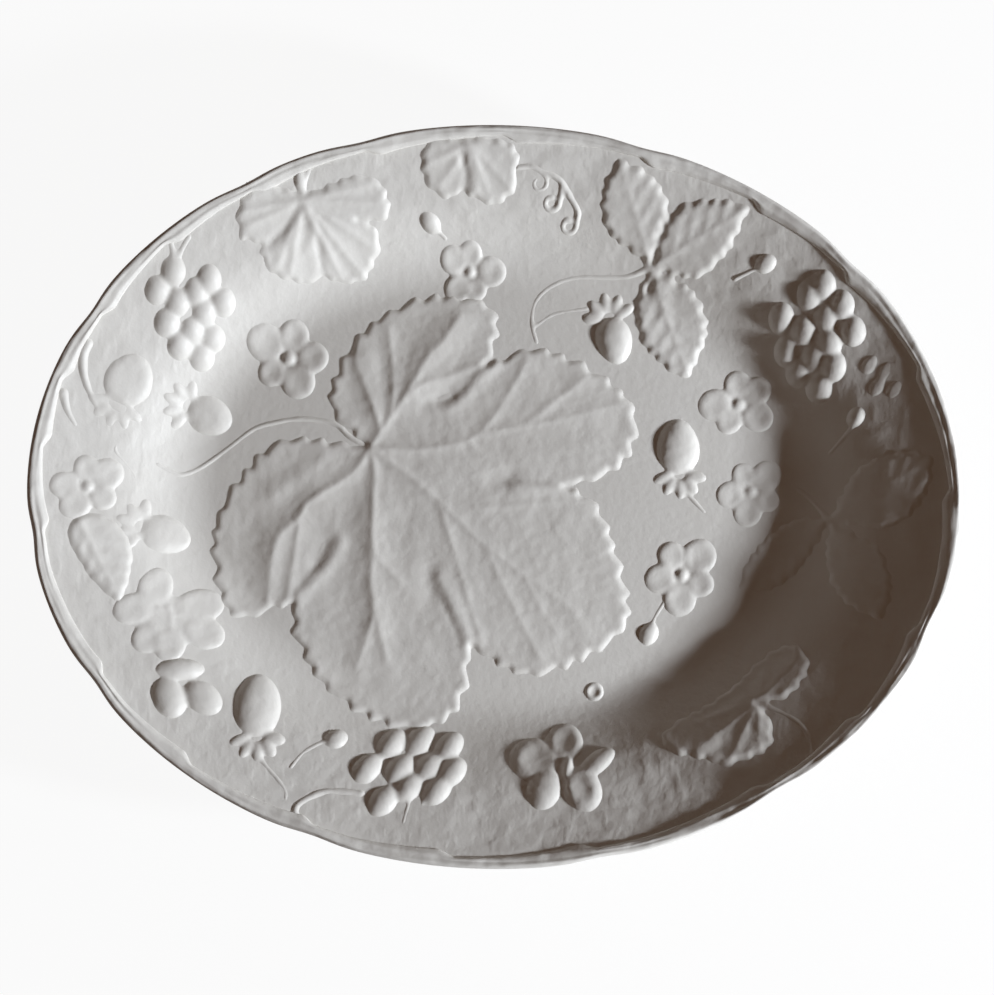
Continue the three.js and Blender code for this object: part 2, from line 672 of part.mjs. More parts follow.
const dish = new THREE.Group();
dish.add(glazedMesh("dish_body", geometryOf(solidOf(dishForm(0)))));
dish.add(glazedMesh("rim_edging", geometryOf(solidOf(edgingForm()))));
dish.add(footRing, ornament);

export default dish;
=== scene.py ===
import math

import bpy
import numpy as np
from mathutils import Matrix, Vector, noise


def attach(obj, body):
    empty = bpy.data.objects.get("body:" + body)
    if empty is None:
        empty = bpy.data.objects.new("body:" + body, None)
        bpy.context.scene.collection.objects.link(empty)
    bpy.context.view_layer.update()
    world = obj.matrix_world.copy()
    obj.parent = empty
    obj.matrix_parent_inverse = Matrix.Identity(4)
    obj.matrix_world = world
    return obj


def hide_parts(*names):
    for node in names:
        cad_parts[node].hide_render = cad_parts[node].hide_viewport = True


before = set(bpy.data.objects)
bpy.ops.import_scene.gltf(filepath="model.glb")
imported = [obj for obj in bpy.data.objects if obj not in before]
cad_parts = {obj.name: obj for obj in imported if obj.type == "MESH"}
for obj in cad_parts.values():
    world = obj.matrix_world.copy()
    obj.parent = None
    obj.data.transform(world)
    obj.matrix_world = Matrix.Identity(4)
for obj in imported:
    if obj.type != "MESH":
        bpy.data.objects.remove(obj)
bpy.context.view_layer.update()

# Camera. The photograph looks almost straight down into the dish from about arm's length, a few
# degrees from the front, and the dish lies a degree askew in it.
IMAGE_PIXELS = 995
VIEW_DISTANCE = 0.900
VIEW_TILT = math.radians(6.0)
VIEW_ROLL = math.radians(1.07)
FOCAL_PIXELS = 2475
OFF_CENTRE_PIXELS = (2.55, -6.0)
RIM_LEVEL = 0.037

view_camera = bpy.data.cameras.new("camera")
view_camera.sensor_width = 36.0
view_camera.lens = view_camera.sensor_width * FOCAL_PIXELS / IMAGE_PIXELS
view_camera.shift_x = OFF_CENTRE_PIXELS[0] / IMAGE_PIXELS
view_camera.shift_y = OFF_CENTRE_PIXELS[1] / IMAGE_PIXELS
camera = bpy.data.objects.new("camera", view_camera)
bpy.context.scene.collection.objects.link(camera)
eye = Vector((0, -math.sin(VIEW_TILT), math.cos(VIEW_TILT))) * VIEW_DISTANCE
camera.matrix_world = (
    Matrix.Translation(eye + Vector((0, 0, RIM_LEVEL)))
    @ Matrix.Rotation(VIEW_TILT, 4, "X")
    @ Matrix.Rotation(VIEW_ROLL, 4, "Z")
)
bpy.context.scene.camera = camera
bpy.context.scene.view_settings.view_transform = "Standard"


# Table. A plain white sheet under the dish; what the eye sees of it is mostly its own white, and
# the rest is the light that falls on it, so that it still takes the dish's shadow.
TABLE_SIZE = 30.0
TABLE_DROP = 0.0002
TABLE_WHITE = "#FFFFFF"
TABLE_OWN_WHITE = 0.93


def linear(colour):
    """Turn an sRGB hex colour into linear red, green, blue and a full alpha."""
    parts = [int(colour[place:place + 2], 16) / 255 for place in (1, 3, 5)]
    curved = [part / 12.92 if part <= 0.04045 else ((part + 0.055) / 1.055) ** 2.4 for part in parts]
    return (*curved, 1.0)


def add_node(tree, kind, settings=(), links=()):
    """Add one shader node; settings are its own values or its sockets', links feed its sockets."""
    made = tree.nodes.new(kind)
    for name, value in dict(settings).items():
        if isinstance(name, str) and hasattr(made, name):
            setattr(made, name, value)
        else:
            made.inputs[name].default_value = value
    for name, source in dict(links).items():
        tree.links.new(source, made.inputs[name])
    return made


def empty_tree(owner):
    """Clear a material's or a world's nodes and hand back its tree."""
    owner.use_nodes = True
    owner.node_tree.nodes.clear()
    return owner.node_tree


def looked_at(tree):
    """1 for rays of the eye, straight, mirrored or through glass, and 0 for rays that carry light."""
    ray = add_node(tree, "ShaderNodeLightPath")
    mirrored = add_node(tree, "ShaderNodeMath", {"operation": "MAXIMUM"},
                        {0: ray.outputs["Is Camera Ray"], 1: ray.outputs["Is Glossy Ray"]})
    through = add_node(tree, "ShaderNodeMath", {"operation": "MAXIMUM"},
                       {0: mirrored.outputs[0], 1: ray.outputs["Is Transmission Ray"]})
    return through.outputs[0]


bpy.ops.object.select_all(action="DESELECT")
bpy.ops.mesh.primitive_plane_add(size=TABLE_SIZE, location=(0, 0, -TABLE_DROP))
table = bpy.context.object
table.name = "table"
white_sheet = bpy.data.materials.new("white_sheet")
tree = empty_tree(white_sheet)
lit = add_node(tree, "ShaderNodeBsdfDiffuse", {"Color": linear(TABLE_WHITE)})
own = add_node(tree, "ShaderNodeEmission", {"Color": linear(TABLE_WHITE), "Strength": 1.0})
part_own = add_node(tree, "ShaderNodeMath", {"operation": "MULTIPLY", 1: TABLE_OWN_WHITE},
                    {0: looked_at(tree)})
both = add_node(tree, "ShaderNodeMixShader", {},
                {0: part_own.outputs[0], 1: lit.outputs[0], 2: own.outputs[0]})
add_node(tree, "ShaderNodeOutputMaterial", {}, {"Surface": both.outputs[0]})
table.data.materials.append(white_sheet)

# Light. A small soft lamp stands low on the right, a little to the front and about a metre off, so
# that its light falls off across the dish, and the room gives back a dim warm light from all round;
# what lies beyond the table is white to the eye.
ROOM_TINT = "#FFA94C"
ROOM_STRENGTH = 0.044
LAMP_TINT = "#F2F8FF"
LAMP_BEARING = math.radians(-17.0)
LAMP_HEIGHT = math.radians(18.7)
LAMP_DISTANCE = 1.2
LAMP_SIZE = 0.105
LAMP_WATTS = 22.0

room = bpy.data.worlds.new("room")
bpy.context.scene.world = room
tree = empty_tree(room)
glow = add_node(tree, "ShaderNodeBackground", {"Color": linear(ROOM_TINT), "Strength": ROOM_STRENGTH})
beyond = add_node(tree, "ShaderNodeBackground", {"Color": linear(TABLE_WHITE), "Strength": 1.0})
both = add_node(tree, "ShaderNodeMixShader", {},
                {0: looked_at(tree), 1: glow.outputs[0], 2: beyond.outputs[0]})
add_node(tree, "ShaderNodeOutputWorld", {}, {"Surface": both.outputs[0]})
lamp_light = bpy.data.lights.new("window_lamp", "AREA")
lamp_light.size = LAMP_SIZE
lamp_light.energy = LAMP_WATTS
lamp_light.color = linear(LAMP_TINT)[:3]
window_lamp = bpy.data.objects.new("window_lamp", lamp_light)
bpy.context.scene.collection.objects.link(window_lamp)
away = Vector((math.cos(LAMP_BEARING) * math.cos(LAMP_HEIGHT),
               math.sin(LAMP_BEARING) * math.cos(LAMP_HEIGHT),
               math.sin(LAMP_HEIGHT)))
window_lamp.location = away * LAMP_DISTANCE + Vector((0, 0, RIM_LEVEL))
window_lamp.rotation_euler = away.to_track_quat("Z", "Y").to_euler()

# Dish body. White earthenware pressed over a hump mould: an oval well, a soft wall and a broad
# sloping flange, dipped in opaque white tin glaze. Its ground is left a little uneven by hand.
# Sizes are in millimetres from here on.
MM = 0.001
WELL = np.array((104.0, 79.0))
RIM = np.array((170.0, 136.0))
WELL_MEAN = WELL.mean()
BORDER = RIM.mean() - WELL_MEAN
FLOOR_TOP = 11.3
WELL_DEPTH = 26.0
FLANGE_END = 57.5
FLANGE_WIDTH = 19.5
FLANGE_SLOPE = math.radians(24.0)
WALL_EASE = 17.0
BASE_LEVEL = 5.3
RIM_CLAY = 4.5
NOTCHES = np.array((-172.0, -148.0, -112.0, -76.0, -52.0, -20.0, 40.0, 72.0, 108.0, 124.0, 152.0))
NOTCH_SPREAD = 3.6
NOTCH_DEPTH = 1.1
NOTCH_REACH = 24.0
BODY_STEPS = 800
WELL_LEAN = 6.0
LEAN_FULL = 8.0
LEAN_GONE = 57.0
WALL_RUN = FLANGE_END - FLANGE_WIDTH
WALL_RISE = WELL_DEPTH - FLANGE_WIDTH * math.tan(FLANGE_SLOPE)
WALL_PULL = np.array([
    (0.0, 0.0),
    (WALL_EASE, 0.0),
    (WALL_RUN - WALL_EASE * math.cos(FLANGE_SLOPE), WALL_RISE - WALL_EASE * math.sin(FLANGE_SLOPE)),
    (WALL_RUN, WALL_RISE),
])
WALL_SAMPLES = 200
HALVINGS = 26
FARTHEST_SHARE = 1.6
TINY = 1e-6


def ease(low, high, value):
    """Go smoothly from 0 at low to 1 at high."""
    share = np.clip((value - low) / (high - low), 0.0, 1.0)
    return share * share * (3.0 - 2.0 * share)


wall_share = np.linspace(0.0, 1.0, WALL_SAMPLES)[:, None]
wall_line = (
    (1 - wall_share) ** 3 * WALL_PULL[0] + 3 * (1 - wall_share) ** 2 * wall_share * WALL_PULL[1]
    + 3 * (1 - wall_share) * wall_share ** 2 * WALL_PULL[2] + wall_share ** 3 * WALL_PULL[3]
)


def clay_rise(outside):
    """Height of the ground over the well's floor at a distance outside the well's edge."""
    flange = WALL_RISE + (outside - WALL_RUN) * math.tan(FLANGE_SLOPE)
    wall = np.interp(outside, wall_line[:, 0], wall_line[:, 1])
    return np.where(outside < WALL_RUN, wall, flange)


def half_axes(share):
    """Half axes of the oval at a share: -1 in the middle, 0 at the well's edge, 1 at the rim."""
    inner = np.minimum(share, 0.0)
    outer = np.maximum(share, 0.0)
    return tuple(WELL[axis] * (1 + inner) + (RIM[axis] - WELL[axis]) * outer for axis in (0, 1))


def notch_at(bearing):
    """How far the rim is drawn in at a bearing, from 0 to 1."""
    turn = (np.degrees(bearing)[..., None] - NOTCHES + 180.0) % 360.0 - 180.0
    return np.exp(-(turn / NOTCH_SPREAD) ** 2).sum(axis=-1)


def outside_well(x, y):
    """Distance outside the well's edge of a place on the dish, and its bearing."""
    low = np.full_like(x, -1.0)
    high = np.full_like(x, FARTHEST_SHARE)
    for _ in range(HALVINGS):
        middle = (low + high) / 2
        long_axis, short_axis = half_axes(middle)
        beyond = np.hypot(x / np.maximum(long_axis, TINY), y / np.maximum(short_axis, TINY)) > 1
        low = np.where(beyond, middle, low)
        high = np.where(beyond, high, middle)
    long_axis, short_axis = half_axes(low)
    bearing = np.arctan2(y / np.maximum(short_axis, TINY), x / np.maximum(long_axis, TINY))
    return np.where(low < 0, low * WELL_MEAN, low * BORDER), bearing


def leaned(outside, bearing):
    """Distance outside the well's edge, which lies a little further in along the front."""
    return outside + WELL_LEAN * np.maximum(-np.sin(bearing), 0.0) * ease(LEAN_GONE, LEAN_FULL, outside)


def ground(x, y):
    """Height of the dish's upper face at places on it."""
    outside, bearing = outside_well(x, y)
    drawn = NOTCH_DEPTH * ease(BORDER - NOTCH_REACH, BORDER, outside)
    return FLOOR_TOP + clay_rise(leaned(outside, bearing) + drawn * notch_at(bearing))


def read_places(piece):
    """All vertices of a mesh as rows of x, y, z."""
    places = np.empty(len(piece.data.vertices) * 3)
    piece.data.vertices.foreach_get("co", places)
    return places.reshape(-1, 3)


def write_places(piece, places):
    """Move all vertices of a mesh to rows of x, y, z."""
    piece.data.vertices.foreach_set("co", np.ascontiguousarray(places).ravel())
    piece.data.update()


def spun_oval(name, profile, steps, closed):
    """Spin a profile of (distance outside the well, height) and stretch the ring to the oval."""
    bpy.ops.object.select_all(action="DESELECT")
    bpy.ops.mesh.primitive_circle_add(vertices=len(profile), radius=1.0)
    piece = bpy.context.object
    piece.name = name
    for vertex, (outside, level) in zip(piece.data.vertices, profile):
        vertex.co = (max(WELL_MEAN + outside, 0.0) * MM, 0.0, level * MM)
    if not closed:
        ends = {0, len(profile) - 1}
        for vertex in piece.data.vertices:
            vertex.select = vertex.index in ends
        for edge in piece.data.edges:
            edge.select = set(edge.vertices) == ends
        bpy.ops.object.mode_set(mode="EDIT")
        bpy.ops.mesh.select_mode(type="EDGE")
        bpy.ops.mesh.delete(type="EDGE_FACE")
        bpy.ops.object.mode_set(mode="OBJECT")
    turned = piece.modifiers.new("turned", "SCREW")
    turned.steps = steps
    turned.render_steps = steps
    turned.use_merge_vertices = True
    turned.merge_threshold = TINY
    bpy.ops.object.modifier_apply(modifier=turned.name)
    bpy.ops.object.mode_set(mode="EDIT")
    bpy.ops.mesh.select_all(action="SELECT")
    bpy.ops.mesh.remove_doubles(threshold=TINY)
    bpy.ops.mesh.normals_make_consistent(inside=False)
    bpy.ops.object.mode_set(mode="OBJECT")
    places = read_places(piece)
    radius = np.hypot(places[:, 0], places[:, 1]) / MM
    bearing = np.arctan2(places[:, 1], places[:, 0])
    outside = radius - WELL_MEAN
    share = np.where(outside < 0, outside / WELL_MEAN, outside / BORDER)
    long_axis, short_axis = half_axes(share)
    drawn = NOTCH_DEPTH * ease(BORDER - NOTCH_REACH, BORDER, outside) * notch_at(bearing)
    inward = 1 - drawn / RIM.mean()
    places[:, 0] = long_axis * np.cos(bearing) * inward * MM
    places[:, 1] = short_axis * np.sin(bearing) * inward * MM
    write_places(piece, places)
    return piece, outside, bearing


def shade_smooth(piece):
    """Round off the shading between faces."""
    piece.data.polygons.foreach_set("use_smooth", np.ones(len(piece.data.polygons), dtype=bool))


def roughcast(places, grain):
    """Uneven hand-made ground: noise from -1 to 1 with lumps of a size in millimetres."""
    return np.array([noise.noise(Vector(place) / (grain * MM)) for place in places])


GLAZE_WHITE = "#EAE8E3"
GLAZE_POOLED = "#E3E0DA"
GLAZE_MOTTLE = 24.0
GLAZE_RIPPLE = 2.6
RIPPLE_DEPTH = 0.2
RIPPLE_STRENGTH = 0.6
GLAZE_ROUGHNESS = (0.40, 0.52)
GLAZE_SHEEN = 0.25
STROKE_SIZE = (3.2, 8.0, 3.2)
STROKE_CUT = (0.52, 0.72)
STROKE_DEPTH = 0.35
STROKE_REACH = (1.0, 1.25)
GROUND_TOOLING = 0.14


def cloudy(tree, place, size, detail):
    """Soft cloudy pattern with patches of a size in millimetres."""
    return add_node(tree, "ShaderNodeTexNoise", {"Scale": 1 / (size * MM), "Detail": detail},
                    {"Vector": place}).outputs["Fac"]


def between(tree, share, first, second):
    """Colour at a share of the way from one hex colour to another."""
    return add_node(tree, "ShaderNodeMix", {"data_type": "RGBA", 6: linear(first), 7: linear(second)},
                    {0: share}).outputs[2]


def white_tin_glaze(name, tooling):
    """Opaque white tin glaze: a smooth satin gloss with soft ripples and a shade greyer in patches.

    On the wall and flange the strokes of the tool that worked the clay show through it.
    """
    glaze = bpy.data.materials.new(name)
    tree = empty_tree(glaze)
    place = add_node(tree, "ShaderNodeTexCoord").outputs["Object"]
    mottle = cloudy(tree, place, GLAZE_MOTTLE, 3.0)
    gloss = add_node(tree, "ShaderNodeMapRange",
                     {"To Min": GLAZE_ROUGHNESS[0], "To Max": GLAZE_ROUGHNESS[1]}, {"Value": mottle})
    skin = add_node(tree, "ShaderNodeBump", {"Strength": RIPPLE_STRENGTH, "Distance": RIPPLE_DEPTH * MM},
                    {"Height": cloudy(tree, place, GLAZE_RIPPLE, 2.0)})
    drawn_out = add_node(tree, "ShaderNodeMapping",
                         {"Scale": tuple(1 / (size * MM) for size in STROKE_SIZE)}, {"Vector": place})
    stroke = add_node(tree, "ShaderNodeTexNoise", {"Scale": 1.0, "Detail": 1.0},
                      {"Vector": drawn_out.outputs["Vector"]})
    cut = add_node(tree, "ShaderNodeMapRange", {"From Min": STROKE_CUT[0], "From Max": STROKE_CUT[1]},
                   {"Value": stroke.outputs["Fac"]})
    oval = add_node(tree, "ShaderNodeMapping", {"Scale": (1 / (WELL[0] * MM), 1 / (WELL[1] * MM), 0.0)},
                    {"Vector": place})
    reach = add_node(tree, "ShaderNodeVectorMath", {"operation": "LENGTH"}, {0: oval.outputs["Vector"]})
    worked = add_node(tree, "ShaderNodeMapRange",
                      {"From Min": STROKE_REACH[0], "From Max": STROKE_REACH[1], "To Max": tooling},
                      {"Value": reach.outputs["Value"]})
    tooled = add_node(tree, "ShaderNodeBump", {"Distance": STROKE_DEPTH * MM},
                      {"Height": cut.outputs["Result"], "Strength": worked.outputs["Result"],
                       "Normal": skin.outputs["Normal"]})
    surface = add_node(tree, "ShaderNodeBsdfPrincipled", {"Specular IOR Level": GLAZE_SHEEN},
                       {"Base Color": between(tree, mottle, GLAZE_WHITE, GLAZE_POOLED),
                        "Roughness": gloss.outputs["Result"], "Normal": tooled.outputs["Normal"]})
    add_node(tree, "ShaderNodeOutputMaterial", {}, {"Surface": surface.outputs[0]})
    return glaze


worked_glaze = white_tin_glaze("white_tin_glaze_worked", GROUND_TOOLING)


def dress(piece, node, finish):
    """Give a piece its finish and let it stand for its solid."""
    shade_smooth(piece)
    piece.data.materials.clear()
    piece.data.materials.append(finish)
    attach(piece, "root")
    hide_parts(node)


FLOOR_STATIONS = 26
WALL_STATIONS = 36
FLANGE_STATIONS = 26
LIP_STATIONS = 6
UNDER_STATIONS = 18
upper = np.concatenate([
    np.linspace(-WELL_MEAN, 0, FLOOR_STATIONS, endpoint=False),
    np.linspace(0, WALL_RUN, WALL_STATIONS, endpoint=False),
    np.linspace(WALL_RUN, FLANGE_END, FLANGE_STATIONS),
])
upper_level = FLOOR_TOP + clay_rise(upper)
lip_radius = RIM_CLAY / 2
lip_turn = math.pi / 2 + FLANGE_SLOPE - np.linspace(0, math.pi, LIP_STATIONS + 2)[1:-1]
lip_middle = (FLANGE_END + lip_radius * math.sin(FLANGE_SLOPE),
              upper_level[-1] - lip_radius * math.cos(FLANGE_SLOPE))
lip = [(lip_middle[0] + lip_radius * math.cos(turn), lip_middle[1] + lip_radius * math.sin(turn))
       for turn in lip_turn]
under = np.linspace(FLANGE_END + RIM_CLAY * math.sin(FLANGE_SLOPE), 0, UNDER_STATIONS)
base_clay = FLOOR_TOP - BASE_LEVEL
under_clay = base_clay + (RIM_CLAY / math.cos(FLANGE_SLOPE) - base_clay) * np.clip(under / WALL_RUN, 0, 1)
under_level = FLOOR_TOP + clay_rise(under) - under_clay
body_profile = [*zip(upper, upper_level), *lip, *zip(under, under_level),
                (-WELL_MEAN / 2, BASE_LEVEL), (-WELL_MEAN, BASE_LEVEL)]
dish_body, outside, bearing = spun_oval("dish_body_glazed", body_profile, BODY_STEPS, closed=False)

GROUND_LUMPS = ((16.0, 0.30), (4.5, 0.18))
LUMPS_FROM = 4.0
LUMPS_FULL = 30.0
LUMPS_FADE = 4.0
UNDERSIDE_TOP = 3.0
places = read_places(dish_body)
places[:, 2] += (clay_rise(leaned(outside, bearing)) - clay_rise(outside)) * MM
on_top = (places[:, 2] > BASE_LEVEL * MM + UNDERSIDE_TOP * MM) & (outside < FLANGE_END)
on_flange = ease(LUMPS_FROM, LUMPS_FULL, outside) * ease(FLANGE_END, FLANGE_END - LUMPS_FADE, outside)
for grain, depth in GROUND_LUMPS:
    places[:, 2] += np.where(on_top, roughcast(places, grain) * depth * on_flange, 0.0) * MM
write_places(dish_body, places)
dress(dish_body, "dish_body", worked_glaze)

# Foot ring. A low oval ring of the same clay, thrown on under the well, with its standing edge
# ground flat and left bare of glaze.
FOOT_OUTSIDE = -9.0
FOOT_INSIDE = -16.0
FOOT_TAPER = 1.2
FOOT_HEIGHT = 5.0
FOOT_ROUND = 0.7
FOOT_STEPS = 360
BISCUIT = "#D9C9AE"
BISCUIT_STAIN = "#BFA98A"
STAIN_SIZE = 16.0
GRIT_SIZE = 1.2
GRIT_DEPTH = 0.15
GRIT_STRENGTH = 0.5
BISCUIT_ROUGHNESS = 0.85


def bare_biscuit():
    """Unglazed fired clay: a dull buff face with fine grit and faint stains."""
    biscuit = bpy.data.materials.new("bare_biscuit")
    tree = empty_tree(biscuit)
    place = add_node(tree, "ShaderNodeTexCoord").outputs["Object"]
    tint = between(tree, cloudy(tree, place, STAIN_SIZE, 4.0), BISCUIT, BISCUIT_STAIN)
    skin = add_node(tree, "ShaderNodeBump", {"Strength": GRIT_STRENGTH, "Distance": GRIT_DEPTH * MM},
                    {"Height": cloudy(tree, place, GRIT_SIZE, 4.0)})
    surface = add_node(tree, "ShaderNodeBsdfPrincipled", {"Roughness": BISCUIT_ROUGHNESS},
                       {"Base Color": tint, "Normal": skin.outputs["Normal"]})
    add_node(tree, "ShaderNodeOutputMaterial", {}, {"Surface": surface.outputs[0]})
    return biscuit


foot_profile = [
    (FOOT_INSIDE, FOOT_HEIGHT), (FOOT_INSIDE + FOOT_TAPER, FOOT_ROUND),
    (FOOT_INSIDE + FOOT_TAPER + FOOT_ROUND, 0.0), (FOOT_OUTSIDE - FOOT_TAPER - FOOT_ROUND, 0.0),
    (FOOT_OUTSIDE - FOOT_TAPER, FOOT_ROUND), (FOOT_OUTSIDE, FOOT_HEIGHT),
]
foot_ring, _, _ = spun_oval("foot_ring_biscuit", foot_profile, FOOT_STEPS, closed=True)
dress(foot_ring, "foot_ring", bare_biscuit())

# Rim edging. Flat strips of clay luted along the rim end to end and scored lengthwise like twigs:
# each strip broadens to its far end, where the next begins narrow, with a raised inner bead.
EDGING_MIDDLE = 58.8
EDGING_WIDTH = 5.0
EDGING_RISE = 1.0
EDGING_TILT = math.radians(28.5)
EDGING_SQUARE = 0.5
EDGING_SINK = 1.3
ROLL_START = 0.5
LIP_ROLL = 0.33
BEAD_INSET = 1.1
BEAD_WIDTH = 0.8
BEAD_RISE = 0.35
KNOT_RISE = 0.4
STREAK_DEPTH = 0.32
EDGING_LUMPS = (4.5, 0.22)
STREAK_WIDTH = 0.9
STREAK_RUN = 18.0
SCORED_FROM = 0.6
TWIG_JOINTS = np.array((
    -172.0, -148.0, -130.0, -112.0, -94.0, -76.0, -52.0, -36.0, -20.0, 2.0, 22.0, 40.0, 56.0, 72.0, 90.0,
    108.0, 124.0, 138.0, 152.0, 163.5, 174.5,
))
JOINT_TURN = 2.6
TWIG_SPREAD = 2.8
TWIG_WAIST = 0.35
EDGING_POINTS = 36
EDGING_STEPS = 1500
edging_turn = np.linspace(0, 2 * math.pi, EDGING_POINTS, endpoint=False)
edging_level = FLOOR_TOP + float(clay_rise(np.array(EDGING_MIDDLE)))
edging_off = EDGING_WIDTH / 2 * np.cos(edging_turn)
edging_lean = edging_off * math.tan(EDGING_TILT) - LIP_ROLL * np.maximum(edging_off - ROLL_START, 0) ** 2
edging_side = [math.sin(turn) for turn in edging_turn]
edging_profile = [
    (EDGING_MIDDLE + off, edging_level + lean
     + (EDGING_RISE * side ** EDGING_SQUARE if side > 0 else EDGING_SINK * side))
    for off, lean, side in zip(edging_off, edging_lean, edging_side)
]
rim_edging, outside, bearing = spun_oval("rim_edging_glazed", edging_profile, EDGING_STEPS, closed=True)
places = read_places(rim_edging)
off_flange = places[:, 2] / MM - edging_level - (outside - EDGING_MIDDLE) * math.tan(EDGING_TILT)
upper_half = ease(0.0, SCORED_FROM * EDGING_RISE, off_flange)
turned = np.degrees(bearing)
strip = np.searchsorted(TWIG_JOINTS, turned)
strip_start = np.concatenate((TWIG_JOINTS[-1:] - 360.0, TWIG_JOINTS))[strip]
strip_end = np.concatenate((TWIG_JOINTS, TWIG_JOINTS[:1] + 360.0))[strip]
strip_share = (turned - strip_start) / (strip_end - strip_start)
broad = strip_share * ease(0.0, JOINT_TURN, strip_end - turned)
inner_half = np.clip((EDGING_MIDDLE - outside) / (EDGING_WIDTH / 2), 0, 1)
inward = inner_half * (broad - TWIG_WAIST) * TWIG_SPREAD
along = RIM.mean() * np.stack((np.cos(bearing), np.sin(bearing)), axis=1) / STREAK_RUN
across = (outside - EDGING_MIDDLE) / STREAK_WIDTH
streaks = np.array([noise.noise(Vector((*run, side))) for run, side in zip(along, across)])
bead = np.exp(-((outside - EDGING_MIDDLE + EDGING_WIDTH / 2 - BEAD_INSET) / BEAD_WIDTH) ** 2)
raised = streaks * STREAK_DEPTH + bead * BEAD_RISE + notch_at(bearing) * KNOT_RISE
raised += roughcast(places, EDGING_LUMPS[0]) * EDGING_LUMPS[1]
places[:, 2] += (raised * upper_half - inward * math.tan(FLANGE_SLOPE)) * MM
places[:, :2] *= (1 - inward * MM / np.hypot(places[:, 0], places[:, 1]))[:, None]
write_places(rim_edging, places)
white_glaze = white_tin_glaze("white_tin_glaze", 0.0)
dress(rim_edging, "rim_edging", white_glaze)

# Large vine leaf. A sheet of clay pressed in a sprig mould and luted over the well with slip: five
# toothed lobes, raised veins, and folds where one lobe laps over the next.
BURIED = 0.5
UNDER_CLAY = 1.0
EDGE_OUT = 1.2
EDGE_IN = 1.9
RELIEF_EDGE = (0.2, 2.2)
VEIN_TAPER = 0.5
SAG_REACH = 4.5
LEAF_ROOM = 1.5
TOOTH_RISE = 0.7
TOOTH_FALL = 0.3
TOOTH_SHIFT = 0.15
TOOTH_UNEVEN = 0.2
MARGIN_STEP = 0.5
CURVE_STEPS = 8
BLEND = 0.4
GLAZE_FILL = 0.7
FILL_STEPS = 3
SPRIG_LUMPS = ((10.0, 0.22), (3.2, 0.09))
PATTERN_SLIP = (-2.1, -0.7)
SLIP_FADE = (50.0, 100.0)
SLOPE_REACH = 0.4
WASTE = 0.02


def smooth_curve(points):
    """Round curve through points, as short straight steps."""
    points = np.asarray(points, dtype=float)
    padded = np.vstack((2 * points[0] - points[1], points, 2 * points[-1] - points[-2]))
    step = np.linspace(0, 1, CURVE_STEPS, endpoint=False)[:, None]
    spans = []
    for before, start, end, after in zip(padded, padded[1:], padded[2:], padded[3:]):
        spans.append(0.5 * (
            2 * start + (end - before) * step + (2 * before - 5 * start + 4 * end - after) * step ** 2
            + (3 * start - before - 3 * end + after) * step ** 3
        ))
    return np.vstack((*spans, points[-1:]))


def run_along(line):
    """Distance along a line at each of its points."""
    return np.concatenate(([0.0], np.cumsum(np.hypot(*np.diff(line, axis=0).T))))


def toothed(line, pitch, depth, plain, outward):
    """Cut rounded teeth of uneven size into a leaf's margin, fading out at its two ends."""
    run = run_along(line)
    fine_run = np.linspace(0, run[-1], max(int(run[-1] / MARGIN_STEP), 8))
    fine = np.stack([np.interp(fine_run, run, line[:, axis]) for axis in (0, 1)], axis=1)
    heading = np.gradient(fine, axis=0)
    heading /= np.hypot(*heading.T)[:, None]
    aside = np.stack((-heading[:, 1], heading[:, 0]), axis=1) * outward
    teeth = max(round(run[-1] / pitch), 1)
    count = teeth * fine_run / run[-1]
    phase = (count + TOOTH_SHIFT * np.sin(1.9 * count)) % 1.0
    bulge = np.minimum(phase / TOOTH_RISE, (1 - phase) / TOOTH_FALL) - 0.5
    uneven = 1 - TOOTH_UNEVEN + TOOTH_UNEVEN * np.sin(1.3 * count + line[0, 0])
    fade = ease(0, plain, fine_run) * ease(0, plain, run[-1] - fine_run)
    return fine + aside * (bulge * uneven * fade * depth)[:, None]


def nearest(line, x, y):
    """Distance from places to a line, and the share of the line's length at the nearest point."""
    run = run_along(line)
    gap = np.full(x.shape, np.inf)
    share = np.zeros(x.shape)
    for start, end, begun, length in zip(line[:-1], line[1:], run[:-1], np.diff(run)):
        if length == 0:
            continue
        lead = (end - start) / length
        along = np.clip((x - start[0]) * lead[0] + (y - start[1]) * lead[1], 0, length)
        away = np.hypot(x - start[0] - along * lead[0], y - start[1] - along * lead[1])
        closer = away < gap
        gap = np.where(closer, away, gap)
        share = np.where(closer, (begun + along) / run[-1], share)
    return gap, share


def within(loop, x, y):
    """Whether places lie inside a closed outline."""
    inside = np.zeros(x.shape, dtype=bool)
    for start, end in zip(loop, np.roll(loop, -1, axis=0)):
        if start[1] == end[1]:
            continue
        crosses = (start[1] > y) != (end[1] > y)
        inside ^= crosses & (x < start[0] + (y - start[1]) * (end[0] - start[0]) / (end[1] - start[1]))
    return inside


